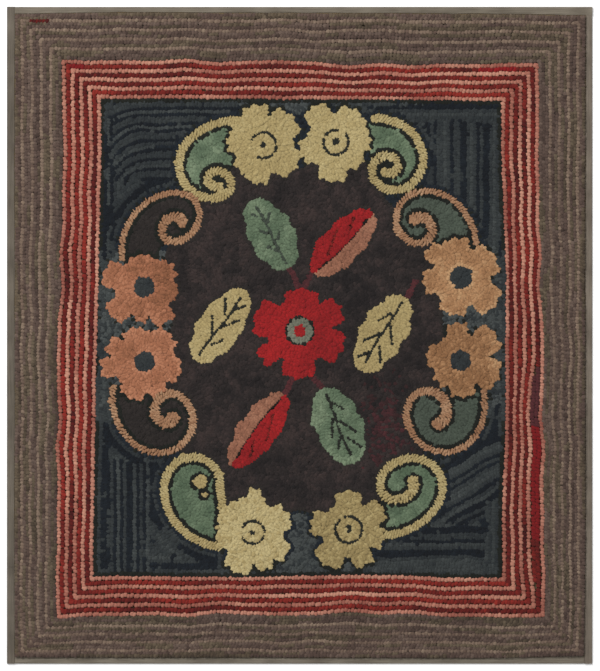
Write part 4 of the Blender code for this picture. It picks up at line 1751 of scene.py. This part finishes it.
ground_cloth.data.materials.append(cloth_material())
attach(ground_cloth, "root")
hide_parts("hooked_field")

# %% [markdown]
# ## The binding tape
#
# Five lengths of flat tape bind the edge. Each lies on the margin of the cloth, turns round the edge and
# comes back underneath. Sewn by hand, it puckers a little, and its edge on the face wanders with the first
# row of loops. A grid is bent into this shape, and a Solidify modifier gives the tape its thickness.

# %% Tape shapes
FOLD_START = 1.8 * MM  # how far in the fold begins
TAPE_CLEAR = 0.6 * MM  # between the tape's edge and the first row
JOIN_ALONG = 0.147  # where the left side's two lengths meet, as a share of the side
TAPE_LOW_MID = TAPE_THICK / 2
TAPE_HIGH_MID = MARGIN_HIGH + GAP + TAPE_THICK / 2
TAPE_UNDER_MID = 11 * MM
EDGE_WANDER, EDGE_LENGTH = 0.35 * MM, 0.02
PUCKER, PUCKER_LENGTH = 0.16 * MM, 0.009
FOLD_STEPS = 6
TAPE_STEP = 8 * MM
SMOOTH_UNDER = 50  # degrees between faces up to which the tape looks smooth
Tape = namedtuple("Tape", "name side low high")
TAPES = (
    Tape("tape_left", "left", "join", "through"),
    Tape("tape_left_end", "left", "through", "join"),
    Tape("tape_top", "top", "butt", "through"),
    Tape("tape_right", "right", "through", "butt"),
    Tape("tape_bottom", "bottom", "butt", "butt"),
)
NEIGHBOURS = {
    "top": ("left", "right"),
    "bottom": ("left", "right"),
    "left": ("bottom", "top"),
    "right": ("bottom", "top"),
}


def tape_section():
    """Places across a tape, from its edge on the face to its edge underneath: layer, inset and height. An
    inset above zero is a share of the width on the face, and one below zero is in metres."""
    fold_mid = (TAPE_HIGH_MID + TAPE_LOW_MID) / 2
    fold_rise = (TAPE_HIGH_MID - TAPE_LOW_MID) / 2
    fold_reach = FOLD_START - TAPE_THICK / 2 / cos(pi / FOLD_STEPS / 2)
    section = [("face", share, TAPE_HIGH_MID) for share in (1.0, 0.75, 0.5, 0.25)]
    for step in range(FOLD_STEPS + 1):
        turn = pi * step / FOLD_STEPS
        layer = "face" if step < FOLD_STEPS / 2 else "under"
        section.append((layer, -(FOLD_START - fold_reach * sin(turn)), fold_mid + fold_rise * cos(turn)))
    section.append(("under", -TAPE_UNDER_MID, TAPE_LOW_MID))
    section.append(("under", -TAPE_UNDER, TAPE_LOW_MID))
    return section


def tape_end(tape, end, layer):
    """Where one layer of a tape ends, as a signed distance along its side."""
    kind, sign = (tape.low, -1) if end == "low" else (tape.high, 1)
    half = half_run(tape.side)
    if kind == "through":
        return sign * half
    if kind == "join":
        return half * (2 * JOIN_ALONG - 1) - sign * GAP / 2
    if layer == "under":
        return sign * (half - TAPE_UNDER - GAP)
    neighbour = NEIGHBOURS[tape.side][0 if end == "low" else 1]
    met_at = half_run(neighbour) if tape.side in ("top", "right") else -half_run(neighbour)
    return sign * (half - float(band_inset(neighbour, met_at, "tape")) + TAPE_CLEAR - GAP)


def make_tape(tape):
    """One length of tape. Returns its object and its length along the side."""
    section = tape_section()
    length = tape_end(tape, "high", "face") - tape_end(tape, "low", "face")
    steps = ceil(length / TAPE_STEP)
    deselect_all()
    bpy.ops.mesh.primitive_grid_add(x_subdivisions=steps, y_subdivisions=len(section) - 1, size=1)
    obj = bpy.context.object
    obj.name = obj.data.name = tape.name
    for vert in obj.data.vertices:
        column, row = round((vert.co.x + 0.5) * steps), round((vert.co.y + 0.5) * (len(section) - 1))
        layer, inset, height = section[row]
        low, high = tape_end(tape, "low", layer), tape_end(tape, "high", layer)
        run = low + (high - low) * column / steps
        if inset < 0:
            inset = -inset
        else:
            edge = float(band_inset(tape.side, run, "tape")) - TAPE_CLEAR
            edge += EDGE_WANDER * float(drift(run, edge, EDGE_LENGTH, ROW_LAYER))
            pucker = PUCKER * float(drift(run, inset * 3, PUCKER_LENGTH, DYE_LAYER))
            height += pucker * sin(pi * inset)
            inset = FOLD_START + (edge - FOLD_START) * inset
        vert.co = (*on_side(tape.side, run, inset), height)
    face_outwards(obj)
    thicken = obj.modifiers.new("thickness", "SOLIDIFY")
    thicken.thickness = TAPE_THICK
    thicken.offset = 0.0
    thicken.use_even_offset = True
    bpy.ops.object.modifier_apply(modifier="thickness")
    bpy.ops.object.shade_smooth_by_angle(angle=radians(SMOOTH_UNDER))
    return obj, length


# %% [markdown]
# The tape is a close twill in olive grey. Long streaks run along it where its threads have faded
# differently. The twill is drawn with one slanting wave, and the streaks with noise that is stretched
# along the tape, so an upright tape needs the stretch the other way.

# %% Tape material
STREAK_SCALE = 700
STREAK_STRETCH = 0.04
CLOUD_SCALE = 26
TWILL_SCALE = 420
# The left tape is darker than the others: painted shade that offsets the key light falling on that side
TAPE_SHADES = {
    "top": ((91, 83, 72), (119, 111, 98)),
    "bottom": ((91, 83, 72), (119, 111, 98)),
    "left": ((77, 70, 61), (101, 93, 82)),
    "right": ((90, 81, 71), (118, 108, 96)),
}


def tape_material(side, shades):
    """Woven tape with streaks along its length."""
    material, tree, shader = start_material(
        side + " tape", {"Roughness": 0.88, "Specular IOR Level": 0.25, "Sheen Weight": 0.08}
    )
    where = add_node(tree, "ShaderNodeTexCoord", {}).outputs["Object"]
    upright = side in ("left", "right")
    stretch = (1, STREAK_STRETCH, 1) if upright else (STREAK_STRETCH, 1, 1)
    along_tape = add_node(tree, "ShaderNodeMapping", {"Scale": stretch, "Vector": where}).outputs["Vector"]
    streaks = noise(tree, along_tape, STREAK_SCALE, 3)
    fading = mapped(tree, calculated(tree, "ADD", streaks, noise(tree, where, CLOUD_SCALE)), 0.7, 1.3)
    twill_inputs = {"Scale": TWILL_SCALE, "Distortion": 0.8, "Vector": where}
    twill = add_node(tree, "ShaderNodeTexWave", twill_inputs, bands_direction="DIAGONAL").outputs["Fac"]
    colours = blended(tree, fading, [light_value(shade) for shade in shades])
    # Painted shade: darker in the twill's grooves and a little lighter on its ridges, as the bump runs
    woven_with_groove_shade = scaled(tree, colours, mapped(tree, twill, 0, 1, 0.82, 1.08))
    dress(tree, shader, woven_with_groove_shade, twill, 0.5, 0.2 * MM)
    return material


tape_materials = {side: tape_material(side, shades) for side, shades in TAPE_SHADES.items()}
for tape in TAPES:
    piece, length = make_tape(tape)
    piece.data.materials.append(tape_materials[tape.side])
    new_name = tape.name.replace("tape", "binding")
    piece.name = piece.data.name = new_name
    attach(piece, "root")
    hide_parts(tape.name)
    print(new_name, round(length * 1000), "mm long")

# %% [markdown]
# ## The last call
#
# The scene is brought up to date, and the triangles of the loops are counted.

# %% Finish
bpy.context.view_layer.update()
triangles = sum(len(piece.data.polygons) for piece in loop_pieces)
print("loop triangles:", triangles)
